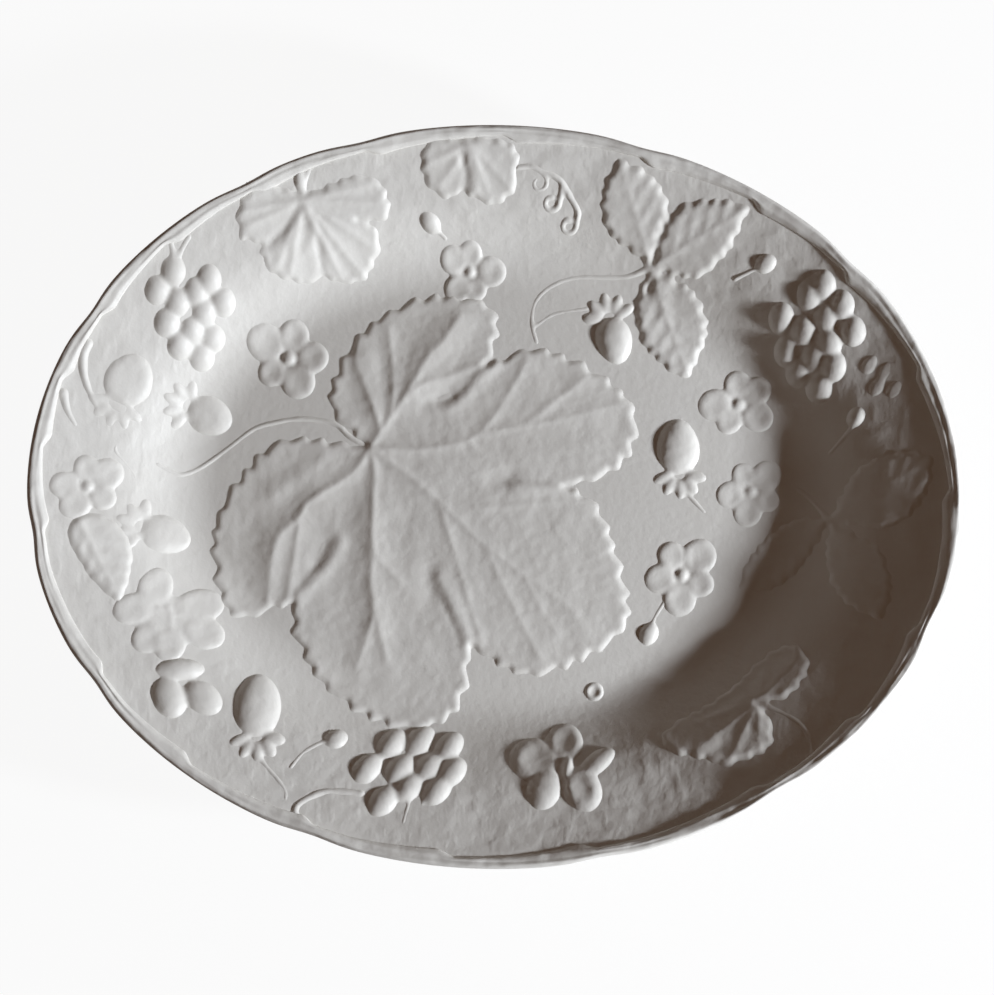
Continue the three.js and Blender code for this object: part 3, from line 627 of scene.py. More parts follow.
def leaf(margins, thickness, pitch, depth, veins, swells=(), plain=4.0, sag=0.3, flat_lobe=None):
    """Leaf of clay that sags between its margins and its veins.

    Margins run from corner to corner, veins are sharp and swells are soft (points, rise, width), and
    the flat lobe is a (middle, reach) where the sheet sags less.
    """
    lines = [smooth_curve(margin) for margin in margins]
    rough = np.vstack(lines)
    turned = np.roll(rough, -1, axis=0)
    outward = 1.0 if (rough[:, 0] * turned[:, 1] - turned[:, 0] * rough[:, 1]).sum() < 0 else -1.0
    loop = np.vstack([toothed(line, pitch, depth, plain, outward) for line in lines])
    vein_lines = [(smooth_curve(points), rise, width) for points, rise, width in veins]
    swell_lines = [(smooth_curve(points), rise, width) for points, rise, width in swells]

    def height(x, y):
        gap, _ = nearest(np.vstack((loop, loop[:1])), x, y)
        inner = np.where(within(loop, x, y), gap, -gap)
        level = (thickness + BURIED) * ease(-EDGE_OUT, EDGE_IN, inner) - BURIED
        body = ease(*RELIEF_EDGE, inner)
        slack = np.maximum(inner, 0)
        ridge = np.zeros(x.shape)
        for line, rise, width in vein_lines:
            off, share = nearest(line, x, y)
            ridge = np.maximum(ridge, rise * np.exp(-off / width) * (1 - VEIN_TAPER * share))
            slack = np.minimum(slack, off)
        sunk = sag * (1 - np.exp(-slack / SAG_REACH))
        if flat_lobe:
            away = np.hypot(x - flat_lobe[0][0], y - flat_lobe[0][1]) / flat_lobe[1]
            sunk *= 1 - np.exp(-away ** 4)
        for line, rise, width in swell_lines:
            off, _ = nearest(line, x, y)
            sunk -= rise * np.exp(-(off / width) ** 2)
        return level + (ridge - sunk) * body

    return loop.min(axis=0) - LEAF_ROOM, loop.max(axis=0) + LEAF_ROOM, height


def glaze_filled(level, pitch):
    """Soften a relief on a square grid as the thick glaze does that runs into its corners."""
    steps = np.arange(-FILL_STEPS, FILL_STEPS + 1) * pitch
    weight = np.exp(-0.5 * (steps / GLAZE_FILL) ** 2)
    weight /= weight.sum()
    for axis in (0, 1):
        room = [(FILL_STEPS, FILL_STEPS) if axis == side else (0, 0) for side in (0, 1)]
        padded = np.pad(level, room, mode="edge")
        count = level.shape[axis]
        level = sum(part * np.take(padded, range(step, step + count), axis=axis)
                    for step, part in enumerate(weight))
    return level


def laid_on_dish(x, y, level):
    """Places at a level over the dish's ground, measured square to it."""
    east = (ground(x + SLOPE_REACH, y) - ground(x - SLOPE_REACH, y)) / (2 * SLOPE_REACH)
    north = (ground(x, y + SLOPE_REACH) - ground(x, y - SLOPE_REACH)) / (2 * SLOPE_REACH)
    upright = level / np.sqrt(1 + east ** 2 + north ** 2)
    return np.stack((x - east * upright, y - north * upright, ground(x, y) + upright), axis=1) * MM


def press_sprig(node, shapes, pitch=0.5):
    """Press shapes out of one patch of clay, lay it on the ground of the dish and bury its edge."""
    low = np.min([shape[0] for shape in shapes], axis=0)
    high = np.max([shape[1] for shape in shapes], axis=0)
    columns, rows = (np.ceil((high - low) / pitch)).astype(int)
    bpy.ops.object.select_all(action="DESELECT")
    bpy.ops.mesh.primitive_grid_add(x_subdivisions=int(columns), y_subdivisions=int(rows), size=2.0)
    sprig = bpy.context.object
    sprig.name = f"{node}_relief"
    flat = read_places(sprig)
    x = low[0] + (flat[:, 0] + 1) / 2 * (high[0] - low[0])
    y = low[1] + (flat[:, 1] + 1) / 2 * (high[1] - low[1])
    level = np.full(x.shape, -2 * BURIED)
    for shape_low, shape_high, height in shapes:
        near = (x > shape_low[0]) & (x < shape_high[0]) & (y > shape_low[1]) & (y < shape_high[1])
        added = height(x[near], y[near])
        old = level[near]
        blend = np.maximum(BLEND - np.abs(added - old), 0) ** 2 / (4 * BLEND)
        level[near] = np.maximum(added, old) + np.where(np.minimum(added, old) > -BURIED, blend, 0)
    level = np.maximum(level, -BURIED).reshape(int(rows) + 1, int(columns) + 1)
    level = np.maximum(glaze_filled(level, pitch).ravel(), -BURIED)
    slip = PATTERN_SLIP[0] + (PATTERN_SLIP[1] - PATTERN_SLIP[0]) * ease(*SLIP_FADE, y)
    on_dish = laid_on_dish(x, y + slip, level)
    for grain, lump_depth in SPRIG_LUMPS:
        on_dish[:, 2] += roughcast(on_dish, grain) * lump_depth * MM * ease(-BURIED, BURIED, level)
    write_places(sprig, on_dish)
    corners = np.empty(len(sprig.data.polygons) * 4, dtype=int)
    sprig.data.polygons.foreach_get("vertices", corners)
    waste = level[corners.reshape(-1, 4)].max(axis=1) < WASTE - BURIED
    sprig.data.vertices.foreach_set("select", np.zeros(len(level), dtype=bool))
    sprig.data.edges.foreach_set("select", np.zeros(len(sprig.data.edges), dtype=bool))
    sprig.data.polygons.foreach_set("select", waste)
    bpy.ops.object.mode_set(mode="EDIT")
    bpy.ops.mesh.select_mode(type="FACE")
    bpy.ops.mesh.delete(type="FACE")
    bpy.ops.object.mode_set(mode="OBJECT")
    backing = sprig.modifiers.new("backing", "SOLIDIFY")
    backing.thickness = UNDER_CLAY * MM
    backing.offset = -1.0
    bpy.ops.object.modifier_apply(modifier=backing.name)
    dress(sprig, node, white_glaze)


LEAF_HUB = (-47.0, 20.1)
vine_margins = [
    [(-48.5, 21.5), (-60, 31.5), (-62.5, 40), (-59.5, 50), (-52.5, 62), (-42, 71), (-28, 77), (-14, 78),
     (-2, 73.5), (0, 65), (-2, 57), (-4.5, 52.5)],
    [(-4.5, 52.5), (2, 55.5), (14, 59), (27, 56), (40, 49), (50, 40), (53, 30), (50.5, 20), (43, 12.5),
     (32, 8.5), (26, 7.2)],
    [(26, 7.2), (34, 4), (41, -4), (45, -15), (49, -27), (51, -40), (47, -48), (38, -55), (26, -61),
     (13, -63.5), (2, -59.5), (-7.5, -53)],
    [(-7.5, -53), (-8.5, -62), (-10.5, -73), (-17, -81), (-29, -84), (-42, -81.5), (-54, -75),
     (-64, -66.5), (-71, -55), (-74.5, -46), (-74, -38)],
    [(-74, -38), (-82, -41), (-93, -44.5), (-99.5, -40), (-103.5, -28), (-105, -14), (-101, -1),
     (-95, 9), (-86, 19), (-76, 23.5), (-63, 23), (-53, 20.8)],
]
VEIN = (0.5, 0.9)
FINE_VEIN = (0.34, 0.8)
vine_veins = [
    ([LEAF_HUB, (-45, 12.8), (-45.1, 2.2), (-45.3, -12), (-44.6, -19), (-45.3, -27.8), (-43.8, -40),
      (-41.3, -48.8), (-39.3, -57.4)], *VEIN),
    ([(-44.6, -18.6), (-40.1, -24.2), (-33.8, -30.2)], *FINE_VEIN),
    ([(-44, -42.7), (-47, -52.4), (-49.7, -61.1)], *FINE_VEIN),
    ([LEAF_HUB, (-33.2, 19.8), (-22.6, 20.7), (-11.2, 23.7), (-5.1, 27.7), (1.8, 36.8), (6.9, 45.8),
      (11.2, 53.9)], *VEIN),
    ([(-6.9, 25.9), (1.9, 27.9), (10.7, 29.5), (23, 32.2), (35.3, 35.6), (48.5, 39.4)], *FINE_VEIN),
    ([(10.7, 29.5), (19.4, 37.1), (29.9, 45.3), (34.8, 49.5)], *FINE_VEIN),
    ([(-11.2, 23.7), (-5, 18.9), (3, 14)], *FINE_VEIN),
    ([LEAF_HUB, (-34.8, 12.1), (-25.8, 5.2), (-20.4, 0), (-18.2, -7), (-14.8, -16.7), (-11.1, -28.9),
      (-7.3, -41.1), (-3.6, -51.5)], *VEIN),
    ([(-20.4, 0.5), (-11.5, -7.8), (-4.3, -14.7), (2.8, -19.9), (11.7, -26.7), (20.5, -32.2),
      (31.2, -40.1)], *VEIN),
    ([(-2.2, -17.3), (2.9, -28.7), (8.4, -39.1), (13.8, -49.5), (17.8, -57.3)], *FINE_VEIN),
    ([(11.7, -26.7), (17.1, -37.2), (24.3, -47.9)], *FINE_VEIN),
    ([(21.4, -32.5), (29.4, -38.7), (33.3, -45.3)], *FINE_VEIN),
    ([(-6.3, -1.5), (4.2, -0.8), (16.5, 0.7), (27.4, 2.1)], *FINE_VEIN),
    ([LEAF_HUB, (-52.4, 11.8), (-59.3, 6.3), (-66.2, 1.8), (-70.5, -1.8), (-72.7, -6.3), (-79.5, -12.6),
      (-82, -19.7), (-82.9, -28.5), (-83.5, -38.2)], *VEIN),
    ([(-72.7, -6.3), (-73.6, -17.8), (-75, -28.4), (-76.4, -37.2)], *FINE_VEIN),
    ([LEAF_HUB, (-40.5, 30.6), (-35.4, 37.9), (-30.3, 46.9), (-25.1, 55.9), (-19.9, 61.4),
      (-14.8, 69.6)], *VEIN),
    ([(-35.4, 38.2), (-28.4, 44.2), (-17.9, 48), (-5.6, 52.7)], *FINE_VEIN),
    ([(-43, 26.1), (-45.9, 35.9), (-50.6, 46.5), (-52.9, 53.6)], *VEIN),
    ([(-39.6, 32.1), (-38.6, 43.1), (-39.2, 52.1), (-40.9, 65.5)], *VEIN),
]
CREST = (0.6, 2.6)
GROOVE = (-0.2, 1.2)
PIT = (-0.5, 3.6)
vine_swells = [
    ([(-1.2, 52.8), (-7.3, 46.4), (-11.6, 41), (-17.7, 36.1), (-22.9, 35.4)], *CREST),
    ([(-2.1, 54.6), (-9.1, 49.1), (-11.6, 44.6), (-16.9, 40.3), (-22.1, 39)], *GROOVE),
    ([(-17.8, 41.4), (-22.1, 38.5)], *PIT),
    ([(26.1, 6.7), (15.5, 6.5), (7.9, 7.1)], *CREST),
    ([(27.8, 8.5), (19, 8.7), (11, 9.6)], *GROOVE),
    ([(6.1, 10.2), (-0.4, 9.2)], *PIT),
    ([(-8.5, -52.5), (-11.5, -43.8), (-15.8, -35.1), (-20.2, -28.2)], *CREST),
    ([(-11.5, -51.7), (-15.1, -43.9), (-19.3, -36.1)], *GROOVE),
    ([(-22.9, -34.4), (-23.4, -25.6)], *PIT),
    ([(-71.9, -35.3), (-66.3, -29.6), (-61.2, -23.2), (-57.3, -15.7)], *CREST),
    ([(-74, -35.4), (-69.3, -28.2), (-65.5, -23.8)], *GROOVE),
    ([(-65.9, -22.9), (-63.3, -15.8)], *PIT),
    ([(-82.1, 3.2), (-73.4, 9.6), (-63.9, 16.3)], 0.6, 4.5),
    ([(-33, 42), (-25.1, 55.9), (-14.8, 68)], 0.9, 7.0),
    ([(-44.5, 33), (-47, 46), (-49, 54)], 0.5, 4.0),
    ([(-66.2, 1.8), (-72.7, -6.3), (-79.5, -12.6), (-82, -24)], 0.6, 6.0),
    ([(-45, -5), (-44.6, -22), (-43, -46)], 0.6, 6.0),
]
press_sprig("vine_leaf_centre", [
    leaf(vine_margins, thickness=0.85, pitch=8.6, depth=3.2, veins=vine_veins, swells=vine_swells,
         plain=6.0, sag=0.5, flat_lobe=((22, -8), 52)),
], pitch=0.64)

# Stalk and stems. Thin rolls of clay laid on the slip and pressed down at their sides, from the
# large leaf's hub across the wall to the flange.
STEM_RISE = 0.42
STEM_ROOM = 1.6


def stem(points, radius, end_radius):
    """Roll of clay along points, thinning from one end to the other."""
    line = smooth_curve(points)

    def height(x, y):
        off, share = nearest(line, x, y)
        thick = radius + (end_radius - radius) * share
        rest = off / thick
        return thick * np.where(rest < 1, STEM_RISE * np.sqrt(np.maximum(1 - rest ** 2, 0)), 2 * (1 - rest))

    reach = max(radius, end_radius) * STEM_ROOM
    return line.min(axis=0) - reach, line.max(axis=0) + reach, height


press_sprig("vine_stalk", [
    stem([LEAF_HUB, (-54.6, 24.5), (-60.7, 29.3), (-72.4, 30.9), (-82.9, 29.2), (-91, 26.4),
          (-100.2, 19.1), (-109.6, 12), (-116.5, 8.7), (-120.5, 9.7), (-125.6, 12.1)], 1.1, 0.9),
], pitch=0.4)
press_sprig("strawberry_runner", [
    stem([(-139.6, 17.5), (-139.6, 15.2), (-133.1, 7.1), (-133.1, 0)], 0.8, 0.7),
], pitch=0.4)

# Vine leaves on the flange. Smaller leaves from their own moulds, with crisp veins fanning out from
# the hub, luted on with slip, and hung from a twig that comes off the edging.
FLANGE_LEAF = (0.9, 6.0)


def fan_of_veins(hub, tips, rise, width):
    """Straight veins from a leaf's hub towards its tips."""
    return [([hub, ((hub[0] + tip[0]) / 2, (hub[1] + tip[1]) / 2), tip], rise, width) for tip in tips]


def lead_at(heading):
    """Unit step at a heading in degrees."""
    return np.array((math.cos(math.radians(heading)), math.sin(math.radians(heading))))


def lump(centre, length, width, heading, rise, fullness=2.4, shoulder=0.9, taper=0.0):
    """Rounded lump of clay, long along its heading and narrower at its far end."""
    middle = np.array(centre, dtype=float)
    lead = lead_at(heading)

    def height(x, y):
        along = ((x - middle[0]) * lead[0] + (y - middle[1]) * lead[1]) / (length / 2)
        across = ((y - middle[1]) * lead[0] - (x - middle[0]) * lead[1]) / (width / 2 * (1 - taper * along))
        out = np.hypot(along, across)
        dome = rise * np.maximum(1 - np.minimum(out, 1) ** fullness, 0) ** shoulder
        return np.where(out < 1, dome, (1 - out) * width)

    reach = max(length, width) / 2 * (1.2 + abs(taper))
    return middle - reach, middle + reach, height


upper_left_hub = (-73.5, 108.4)
press_sprig("vine_leaf_upper_left", [
    leaf([[(-75.1, 110.5), (-78, 111.5), (-85.8, 113.2), (-92, 110.5), (-95.6, 106.4), (-97, 101.1),
           (-95.7, 93.9), (-91.9, 92.9), (-87.8, 92.3)],
          [(-87.8, 92.3), (-88.8, 88.6), (-85.7, 83.9), (-82, 81.4), (-77.5, 80.9), (-71.8, 80.1),
           (-66.9, 82.4)],
          [(-65.6, 83.6), (-61.1, 81.4), (-54.6, 81.5), (-50, 83), (-47.4, 87.8), (-44.8, 93.1),
           (-45.3, 98.5), (-48.2, 101.5), (-52.8, 102.8)],
          [(-52.8, 102.8), (-46.1, 102.4), (-41.3, 104.1), (-41.2, 108.9), (-43.3, 114.4), (-47.1, 116.7),
           (-52.9, 118.1), (-61.2, 115.4), (-67.7, 112.4), (-71.9, 110.6)]],
         *FLANGE_LEAF, 1.8,
         fan_of_veins(upper_left_hub, [(-94.8, 103.2), (-92.7, 98.5), (-83.2, 84), (-77.9, 83.2),
                                       (-59.4, 83.7), (-51.6, 85), (-47.3, 93.8), (-53.6, 102.3),
                                       (-43.7, 108.9), (-49.6, 115)], 0.5, 1.0),
         [([(-74.3, 106), (-79.2, 98.7), (-87.3, 91.1)], -0.6, 1.3),
          ([(-68, 95.9), (-66.8, 89.7), (-66, 83.6)], -0.5, 1.2),
          ([(-73, 105.4), (-76.3, 99.6), (-77.5, 93.1)], 0.4, 1.8),
          ([(-71, 103.8), (-68.9, 97.5), (-70.9, 91.8)], 0.4, 1.8)], sag=0.5),
    lump((-73.9, 114.9), 8, 4.5, 97, 1.1),
    stem([upper_left_hub, (-72, 115), (-70.3, 119.4)], 1.2, 1.0),
])
top_hub = (-11.5, 130)
press_sprig("vine_leaf_top", [
    leaf([[(-15.5, 131), (-22.8, 131.8), (-27.5, 130.2), (-29.3, 125), (-28.8, 119.4),
           (-26.2, 114.6), (-21, 111.2), (-16.6, 111.8), (-13.7, 114.2)],
          [(-13.7, 114.2), (-11.5, 111.9), (-7.1, 110.6), (-1.9, 109.1), (2.2, 111.7),
           (6.1, 114.6), (5.6, 119.5), (6.9, 123.7), (5.8, 128.6), (2.1, 130.9),
           (-5.2, 132.1), (-11.8, 131.7), (-15.5, 131)]],
         *FLANGE_LEAF, 1.6,
         fan_of_veins(top_hub, [(-27, 123), (-24, 114), (-14, 112), (-3, 110), (4, 115)], 0.45, 1.0),
         [([(-14.5, 126), (-12.9, 120.4), (-13.8, 109.8)], -0.7, 1.3),
          ([(-10.6, 126.1), (-9.2, 117.7), (-9.8, 109.2)], 0.5, 2.4)]),
])
lower_right_hub = (97.4, -72.3)
press_sprig("vine_leaf_lower_right", [
    leaf([[lower_right_hub, (106.5, -70.9), (112.5, -66.1), (116.1, -60), (114.7, -53.3), (109.7, -50.8),
           (103.2, -53.3), (96.6, -58.8), (89.9, -65.6), (81.8, -71.8), (73.8, -76.7), (67.1, -80.8),
           (62.3, -84.9)],
          [(62.3, -84.9), (65.5, -90.5), (73.4, -92.5), (79.9, -93.7), (85.2, -95.8), (91.8, -93.1),
           (97, -91.3), (101.7, -87.6), (102.7, -81.6), (100.5, -76.3), lower_right_hub]],
         *FLANGE_LEAF, 1.6,
         fan_of_veins(lower_right_hub, [(112, -57), (100, -62), (70, -82), (76, -90), (88, -92),
                                        (98, -86)], 0.35, 1.0),
         [([(107, -52.5), (96.6, -60.5), (81.8, -73.5), (67.1, -82.5)], -0.65, 4.5)]),
    stem([lower_right_hub, (105.1, -75.6), (112.2, -79.9), (116, -86.7), (116.1, -93.3)], 1.1, 0.9),
])

# Strawberry leaves. Three toothed leaflets on one stem, and a single one on the left, pressed from
# sheets of clay and luted on, each with a raised midrib and pleats running out to the teeth.
PLEAT_PITCH = 6.8
PLEAT_WIDTH = 1.8
PLEAT_SPAN = (0.22, 0.85)
PLEAT_LEAN = 0.7
PLEAT_REACH = 0.9
MIDRIB_WIDTH = 1.2
LEAFLET_TEETH = 5.2


def leaflet(side_out, tip, side_back, junction, thickness=1.0, pleat=0.18, swells=(), teeth=1.9):
    """Pointed leaflet: one side out to the tip, the other side back, with midrib and pleats."""
    base = np.array(junction)
    point = np.array(tip)
    reach = point - base
    length = np.hypot(*reach)
    lead = reach / length
    aside = np.array((-lead[1], lead[0]))
    veins = [([base, base + reach * 0.5, point], 2 * pleat, MIDRIB_WIDTH)]
    half_width = np.max(np.abs((np.array(side_out + side_back) - base) @ aside))
    for place in np.arange(PLEAT_SPAN[0] * length, PLEAT_SPAN[1] * length, PLEAT_PITCH):
        for side in (-1, 1):
            root = base + lead * place
            end = root + lead * half_width * PLEAT_LEAN + aside * side * half_width * PLEAT_REACH
            veins.append(([root, (root + end) / 2, end], pleat, PLEAT_WIDTH))
    margins = [[junction, *side_out, tip], [tip, *side_back, junction]]
    return leaf(margins, thickness, LEAFLET_TEETH, teeth, veins, swells)


top_junction = (57.1, 88.3)
press_sprig("strawberry_leaf_top", [
    leaflet([(50.2, 93.5), (42.3, 98.4), (38.4, 105), (37.5, 111.1), (39.1, 117.5)], (43.7, 125.5),
            [(55.3, 119.6), (60.5, 113.5), (62.7, 105.8), (59.9, 99)], top_junction),
    leaflet([(60, 97.9), (63.8, 105.8), (70.6, 110.4), (82, 110.5)], (92.2, 108.1),
            [(89.2, 101.7), (86.1, 94.9), (82.2, 90.3), (73.7, 84.1)], top_junction),
    leaflet([(67.6, 83.6), (73.2, 80.3), (77.6, 73.1), (78.9, 65.7), (75.6, 56.5)], (72.3, 48.9),
            [(66.7, 50.6), (60.6, 55.5), (55.2, 61.1), (52.5, 69.4), (52.2, 78)], top_junction,
            swells=[([(57.8, 84.8), (55.8, 80.5)], -0.9, 1.5), ([(62, 84), (63, 72)], 0.4, 3.0)]),
    stem([top_junction, (47, 85.4), (29.9, 85.2), (20.2, 82.1), (14.3, 76.4), (12.9, 68.7), (14.9, 61.1)],
         1.0, 0.9),
    stem([(14.8, 67.6), (21.6, 71.9), (34, 74.1)], 0.9, 0.8),
])
right_junction = (124.7, -4.2)
press_sprig("strawberry_leaf_right", [
    leaflet([(128.4, 5.6), (133.2, 13.9), (140.9, 18.6), (151, 20.8)], (160.5, 18.4),
            [(158, 5.2), (152.5, -3.2), (147.3, -6.5), (138, -8)], right_junction, 0.7, 0.05),
    leaflet([(134, -10), (140.6, -14.3), (144.4, -21.5), (145.8, -32)], (141.7, -42),
            [(132, -38), (126, -30.7), (123, -20), (123.5, -10)], right_junction, 0.6, 0.05),
    leaflet([(120, -14), (112, -25), (102, -31)], (91, -31), [(94, -20), (103, -9), (114, -3)],
            right_junction, 0.5, 0.05),
    stem([right_junction, (118, 4), (113, 8)], 1.2, 1.0),
])
press_sprig("strawberry_leaf_left", [
    leaflet([(-147.3, -8.1), (-140.7, -9.9), (-135.1, -14.4), (-132.7, -21.2), (-132.9, -30.7)],
            (-135.5, -41),
            [(-140.6, -37.8), (-146.3, -31.8), (-151.1, -25.1), (-154.3, -19), (-155, -13.4)],
            (-152.6, -9.5), 0.9, 0.34, teeth=0.6),
])

# Blossoms. Five flat petals with raised rims round a button, pressed in one mould and luted on at
# every turn, some of them squeezed as they were pushed home.
PETALS = 5
PETAL_OUT = 0.29
PETAL_SIZE = (0.47, 0.43)
PETAL_EDGE = (4.0, 1.1)
PETAL_TURN = 8.0
PETAL_UNEVEN = 0.12
HOLLOW_SIZE = (0.36, 0.32)
HOLLOW_EDGE = (2.0, 1.2)
HOLLOW_DEPTH = 0.55
BUTTON_SIZE = 0.18
BUTTON_RISE = 1.2
THROAT_SIZE = 0.14
THROAT_DEPTH = 0.9


def dished(outer, hollow):
    """Lump of clay with a hollow pressed into its top."""
    return outer[0], outer[1], lambda x, y: outer[2](x, y) - np.maximum(hollow[2](x, y), 0)


def petal(place, size, hollow_size, heading, rise, hollow_depth, hollow_place=None):
    """Petal with a raised rim round its hollow."""
    return dished(lump(place, *size, heading, rise, *PETAL_EDGE),
                  lump(hollow_place or place, *hollow_size, heading, hollow_depth, *HOLLOW_EDGE))


def blossom(centre, across, heading, rise):
    """Five uneven petals with raised rims, sunk round a button in the middle."""
    petals = []
    for count in range(PETALS):
        turn = heading + 360 / PETALS * count + PETAL_TURN * math.sin(3.1 * count + centre[1])
        size = across * (1 + PETAL_UNEVEN * math.sin(2.4 * count + centre[0]))
        place = np.array(centre) + PETAL_OUT * size * lead_at(turn)
        petals.append(petal(place, [share * size for share in PETAL_SIZE],
                            [share * size for share in HOLLOW_SIZE], turn, rise, HOLLOW_DEPTH * rise))
    low = np.min([each[0] for each in petals], axis=0)
    high = np.max([each[1] for each in petals], axis=0)
    _, _, button = lump(centre, BUTTON_SIZE * across, BUTTON_SIZE * across, 0, BUTTON_RISE * min(rise, 1))

    def height(x, y):
        level = np.max([dome(x, y) for _, _, dome in petals], axis=0)
        out = np.hypot(x - centre[0], y - centre[1])
        level -= THROAT_DEPTH * rise * np.exp(-(out / (THROAT_SIZE * across)) ** 2)
        return np.maximum(level, button(x, y))

    return [(low, high, height)]


for node, centre, across, heading, rise in (
    ("flower_upper_left", (-78.3, 53.6), 30, 5, 1.0),
    ("flower_top", (-10.8, 86.5), 24, 10, 0.9),
    ("flower_left", (-149.1, 1.9), 25, 30, 0.8),
    ("flower_right", (70.5, -25.1), 28, 48, 0.9),
    ("flower_right_wall", (91.2, 39.3), 27, 31, 0.65),
    ("flower_right_lower", (96, 6.5), 25, 45, 0.6),
):
    press_sprig(node, blossom(centre, across, heading, rise), pitch=0.35)
PETAL_RIM = 2
squeezed_petals = (
    ((-124.1, -34.1), 13, 11, 75),
    ((-131.2, -42.5), 13, 10, 15),
    ((-108.2, -40.2), 16, 11, 5),
    ((-106, -50.3), 14, 10, -25),
    ((-118, -55.5), 11, 10.5, -80),
    ((-125.1, -53.2), 10.5, 10, -140),
)
press_sprig("flower_lower_left", [
    lump((-118, -46.5), 26, 20, 0, 0.3, 6.0, 1.1),
    *(petal(place, (length + PETAL_RIM, width + PETAL_RIM), (length, width), turn, 1.0, 0.5)
      for place, length, width, turn in squeezed_petals),
    stem([(-119.3, -41.7), (-118.2, -44.5), (-117.4, -49.2)], 1.4, 1.0),
    stem([(-122.5, -41.8), (-117.6, -44.1), (-113, -43)], 1.2, 0.9),
], pitch=0.35)
press_sprig("flower_bottom", [
    petal((16.5, -95), (19, 17), (13, 12), 170, 1.1, 0.6, (17.5, -95)),
    lump((20, -105), 16, 12.5, 70, 1.8, 2.4, 1.0),
    petal((34, -104.8), (17, 14), (12, 9), -70, 1.5, 0.6, (33.5, -104.5)),
    lump((39, -95.4), 16, 7.5, 38, 1.4),
    petal((27.5, -88.2), (15, 14), (10, 9), 90, 1.0, 0.6, (27.5, -88)),
    lump((28.6, -97.5), 9, 4.5, 80, 1.5),
], pitch=0.35)

# Grapes. Berries pressed side by side in one mould and luted on as a bunch, with a twig of clay
# joining each bunch to the edging.
BERRY_RISE = 1.9
BERRY_EDGE = (2.2, 0.95)


def berries(places, length, width, heading):
    """Domes of one size, all turned the same way."""
    return [lump(place, length, width, heading, BERRY_RISE, *BERRY_EDGE) for place in places]


press_sprig("grapes_left", [
    *berries([(-119.9, 80.8), (-125.6, 74), (-118.4, 70.4), (-111.9, 74.4), (-107.2, 78.9), (-102.1, 71.6),
              (-109, 67.6), (-122.3, 63.3), (-113.2, 60.9), (-106.1, 59.3), (-117.5, 55.6),
              (-110.1, 52.2)], 10.8, 9.0, 75),
    stem([(-119.9, 84), (-119.9, 87.3), (-120.7, 91)], 1.3, 1.1),
    stem([(-118.5, 84), (-117.8, 86.7), (-113.9, 93.5)], 1.2, 1.0),
], pitch=0.4)
press_sprig("grapes_right", [
    *berries([(115, 76.6), (105.4, 69.5), (119.5, 79.9), (126.6, 72.8), (130.9, 64.4), (121.4, 69.2),
              (113.5, 64.7), (122.6, 60.4), (107.9, 58.2), (117.6, 55), (124.4, 52.1), (112.5, 50.6),
              (119.8, 44.6)], 11.5, 9.2, 100),
    stem([(112.3, 80), (116, 83), (120.5, 84.4)], 1.3, 1.1),
    *(lump(place, 8, 5, 60, 0.25) for place in ((137, 52), (143, 50), (146, 43), (140, 44))),
], pitch=0.4)
press_sprig("grapes_bottom", [
    *berries([(-36, -89.8), (-25.7, -88.5), (-15, -90.5), (-44.4, -98.8), (-32.5, -99), (-22.1, -98.2),
              (-13.8, -99.8), (-19, -106.3), (-29.1, -105.4), (-38, -110.2)], 13.0, 9.2, 45),
    stem([(-68.3, -118), (-69.3, -113.1), (-63.1, -108.7), (-56.7, -107.2), (-46, -107.8)], 1.3, 1.2),
    stem([(-28.9, -111), (-30.7, -118.2)], 0.8, 0.7),
    stem([(-24.1, -110), (-24.6, -118.1)], 0.8, 0.7),
], pitch=0.4)

# Strawberries. Plain egg-shaped fruit of clay, some pressed flat with a raised rim, each luted on
# with a fan of small sepals, and some with a rolled stem.
FRUIT_EDGE = (2.6, 0.9)
FLAT_FRUIT_EDGE = (4.0, 0.9)
FRUIT_TAPER = -0.12
FRUIT_RIM = 4
FRUIT_HOLLOW_EDGE = (3.0, 0.9)
FULL_FRUIT_RISE = 2.7
SEPALS = 5
SEPAL_FAN = 36.0
SEPAL_SIZE = (8.0, 4.4)
SEPAL_OUT = 6.6
SEPAL_EDGE = (2.4, 0.8)
SEPAL_RISE = 0.8
STALK_RADIUS = 1.0
FLAT_STALK_RADIUS = 1.8
STALK_END = 0.8


def strawberry(centre, calyx, length, width, rise, sunk):
    """Egg-shaped fruit, sunk in the middle or not, with a crown of sepals round one end."""
    back = np.array(calyx) - np.array(centre)
    heading = math.degrees(math.atan2(back[1], back[0]))
    edge = FLAT_FRUIT_EDGE if sunk else FRUIT_EDGE
    egg = lump(centre, length, width, heading, rise, *edge, FRUIT_TAPER)
    hollow = lump(centre, length - FRUIT_RIM, width - FRUIT_RIM, heading, sunk, *FRUIT_HOLLOW_EDGE,
                  FRUIT_TAPER)
    shapes = [dished(egg, hollow)]
    end = np.array(centre) + back / np.hypot(*back) * (length / 2 - 1)
    for sepal in range(SEPALS):
        turn = heading + (sepal - (SEPALS - 1) / 2) * SEPAL_FAN
        place = end + SEPAL_OUT * lead_at(turn)
        sepal_rise = SEPAL_RISE * min(rise / FULL_FRUIT_RISE, 1)
        shapes.append(lump(place, *SEPAL_SIZE, turn, sepal_rise, *SEPAL_EDGE))
    return shapes


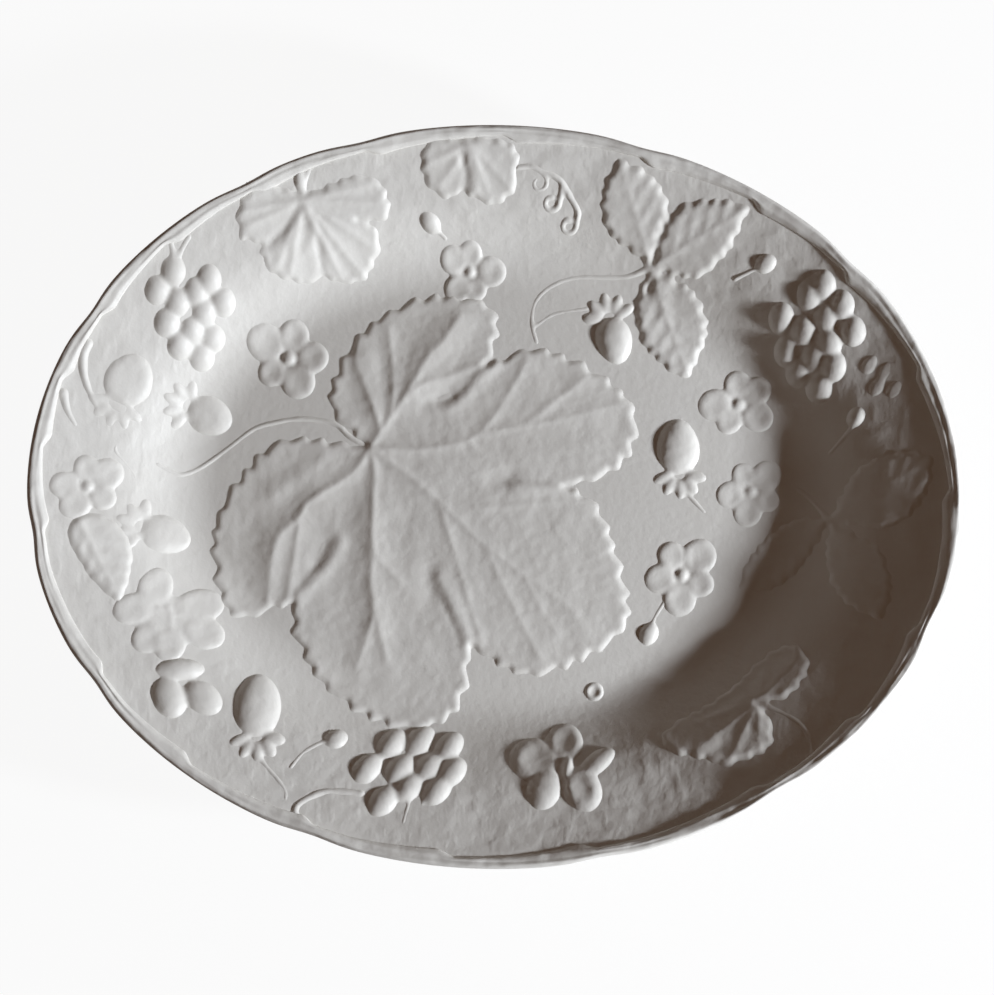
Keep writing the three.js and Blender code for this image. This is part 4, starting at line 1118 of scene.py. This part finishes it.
for node, centre, calyx, length, width, rise, sunk, stems in (
    ("strawberry_upper_left", (-135.5, 42), (-139.9, 31.2), 20, 17, 1.1, 0.25,
     [[(-149.9, 54), (-151.5, 49), (-150.7, 41), (-147.1, 32)],
      [(-158.3, 35.5), (-156.5, 29), (-153.7, 24)]]),
    ("strawberry_left_wall", (-107, 31), (-117.2, 35), 17, 14.5, 2.0, 0.0, []),
    ("strawberry_left", (-121.4, -14.3), (-132.8, -10.6), 18, 14, 1.5, 0.0, []),
    ("strawberry_lower_left", (-85.2, -76.6), (-84.3, -91.5), 23, 17, 2.7, 0.0,
     [[(-84.3, -91.5), (-82.7, -96.2), (-74, -106.1), (-73, -110.7)]]),
    ("strawberry_top", (44, 62.4), (41.1, 74.2), 17.5, 13.5, 2.7, 0.0, []),
    ("strawberry_right", (68.5, 23), (69.4, 8.3), 21, 16, 2.7, 0.0,
     [[(69.4, 8.3), (72.4, 5), (78.8, -1.7)]]),
):
    stalk_radius = FLAT_STALK_RADIUS if sunk else STALK_RADIUS
    press_sprig(node, [*strawberry(centre, calyx, length, width, rise, sunk),
                       *(stem(points, stalk_radius, STALK_END) for points in stems)], pitch=0.4)

# Buds and tendrils. Small drops of clay on thread-like stems, one sprig of three long buds, and
# curled tendrils drawn out with the finger tips, all luted on with slip.
BUD_RISE = 1.5
BUD_STEM = (0.9, 0.8)
TENDRIL = (1.1, 1.0)
CURL_STEPS = 10
CURL_SHRINK = 0.5
press_sprig("buds_lower_left", [
    lump((-113.6, -64.2), 18, 8, 0, 2.0),
    lump((-116.6, -74.6), 16, 11.5, -58, 2.2),
    lump((-104.8, -74.4), 16, 11, -35, 2.0),
], pitch=0.4)
for node, drop, length, width, heading, stem_points in (
    ("bud_top", (-25.8, 102.7), 9, 6.5, -40, [(-25.8, 102.7), (-19.9, 97.5)]),
    ("bud_upper_right", (98.7, 88.3), 8, 7, 25, [(98.7, 88.3), (94.4, 86.2), (87.6, 83.4)]),
    ("bud_right", (132.9, 33.4), 8, 6, 70, [(132.9, 33.4), (131.5, 29.4), (124.4, 20.5)]),
    ("bud_lower_right", (58.4, -47.3), 9, 7, 65, [(58.4, -47.3), (60.6, -41.3), (65, -33.8)]),
    ("bud_lower_left", (-56.2, -88.4), 9, 7, 10,
     [(-56.2, -88.4), (-60.1, -89.2), (-67.4, -93.4), (-72, -99)]),
):
    press_sprig(node, [lump(drop, length, width, heading, BUD_RISE), stem(stem_points, *BUD_STEM)],
                pitch=0.35)
press_sprig("bud_bottom", [
    dished(lump((38.3, -69.2), 7.4, 7.4, 0, 1.1), lump((38.3, -69.2), 4.6, 4.6, 0, 1.1)),
], pitch=0.3)


def curl(start, bend, middle, radius, first_turn, turns):
    """Points of a tendril that runs to a spot and winds round it."""
    winding = []
    for step in range(CURL_STEPS + 1):
        turn = first_turn + turns * step / CURL_STEPS
        out = radius * (1 - CURL_SHRINK * step / CURL_STEPS)
        winding.append((middle[0] + out * math.cos(turn), middle[1] + out * math.sin(turn)))
    return [start, bend, *winding]


press_sprig("tendril_top", [
    stem(curl((6.4, 122.2), (12.1, 122.3), (14.4, 117), 3.2, 1.2, -5.4), *TENDRIL),
    stem(curl((23, 116), (22.5, 112), (19, 110.4), 3.2, 0.3, -5.4), *TENDRIL),
    stem(curl((25.5, 113), (29, 107.5), (25.8, 102.8), 3.1, 0.3, -5.4), *TENDRIL),
    stem([(12.1, 122.3), (17.3, 120.5), (22.5, 117.5), (25.5, 113)], *TENDRIL),
], pitch=0.3)
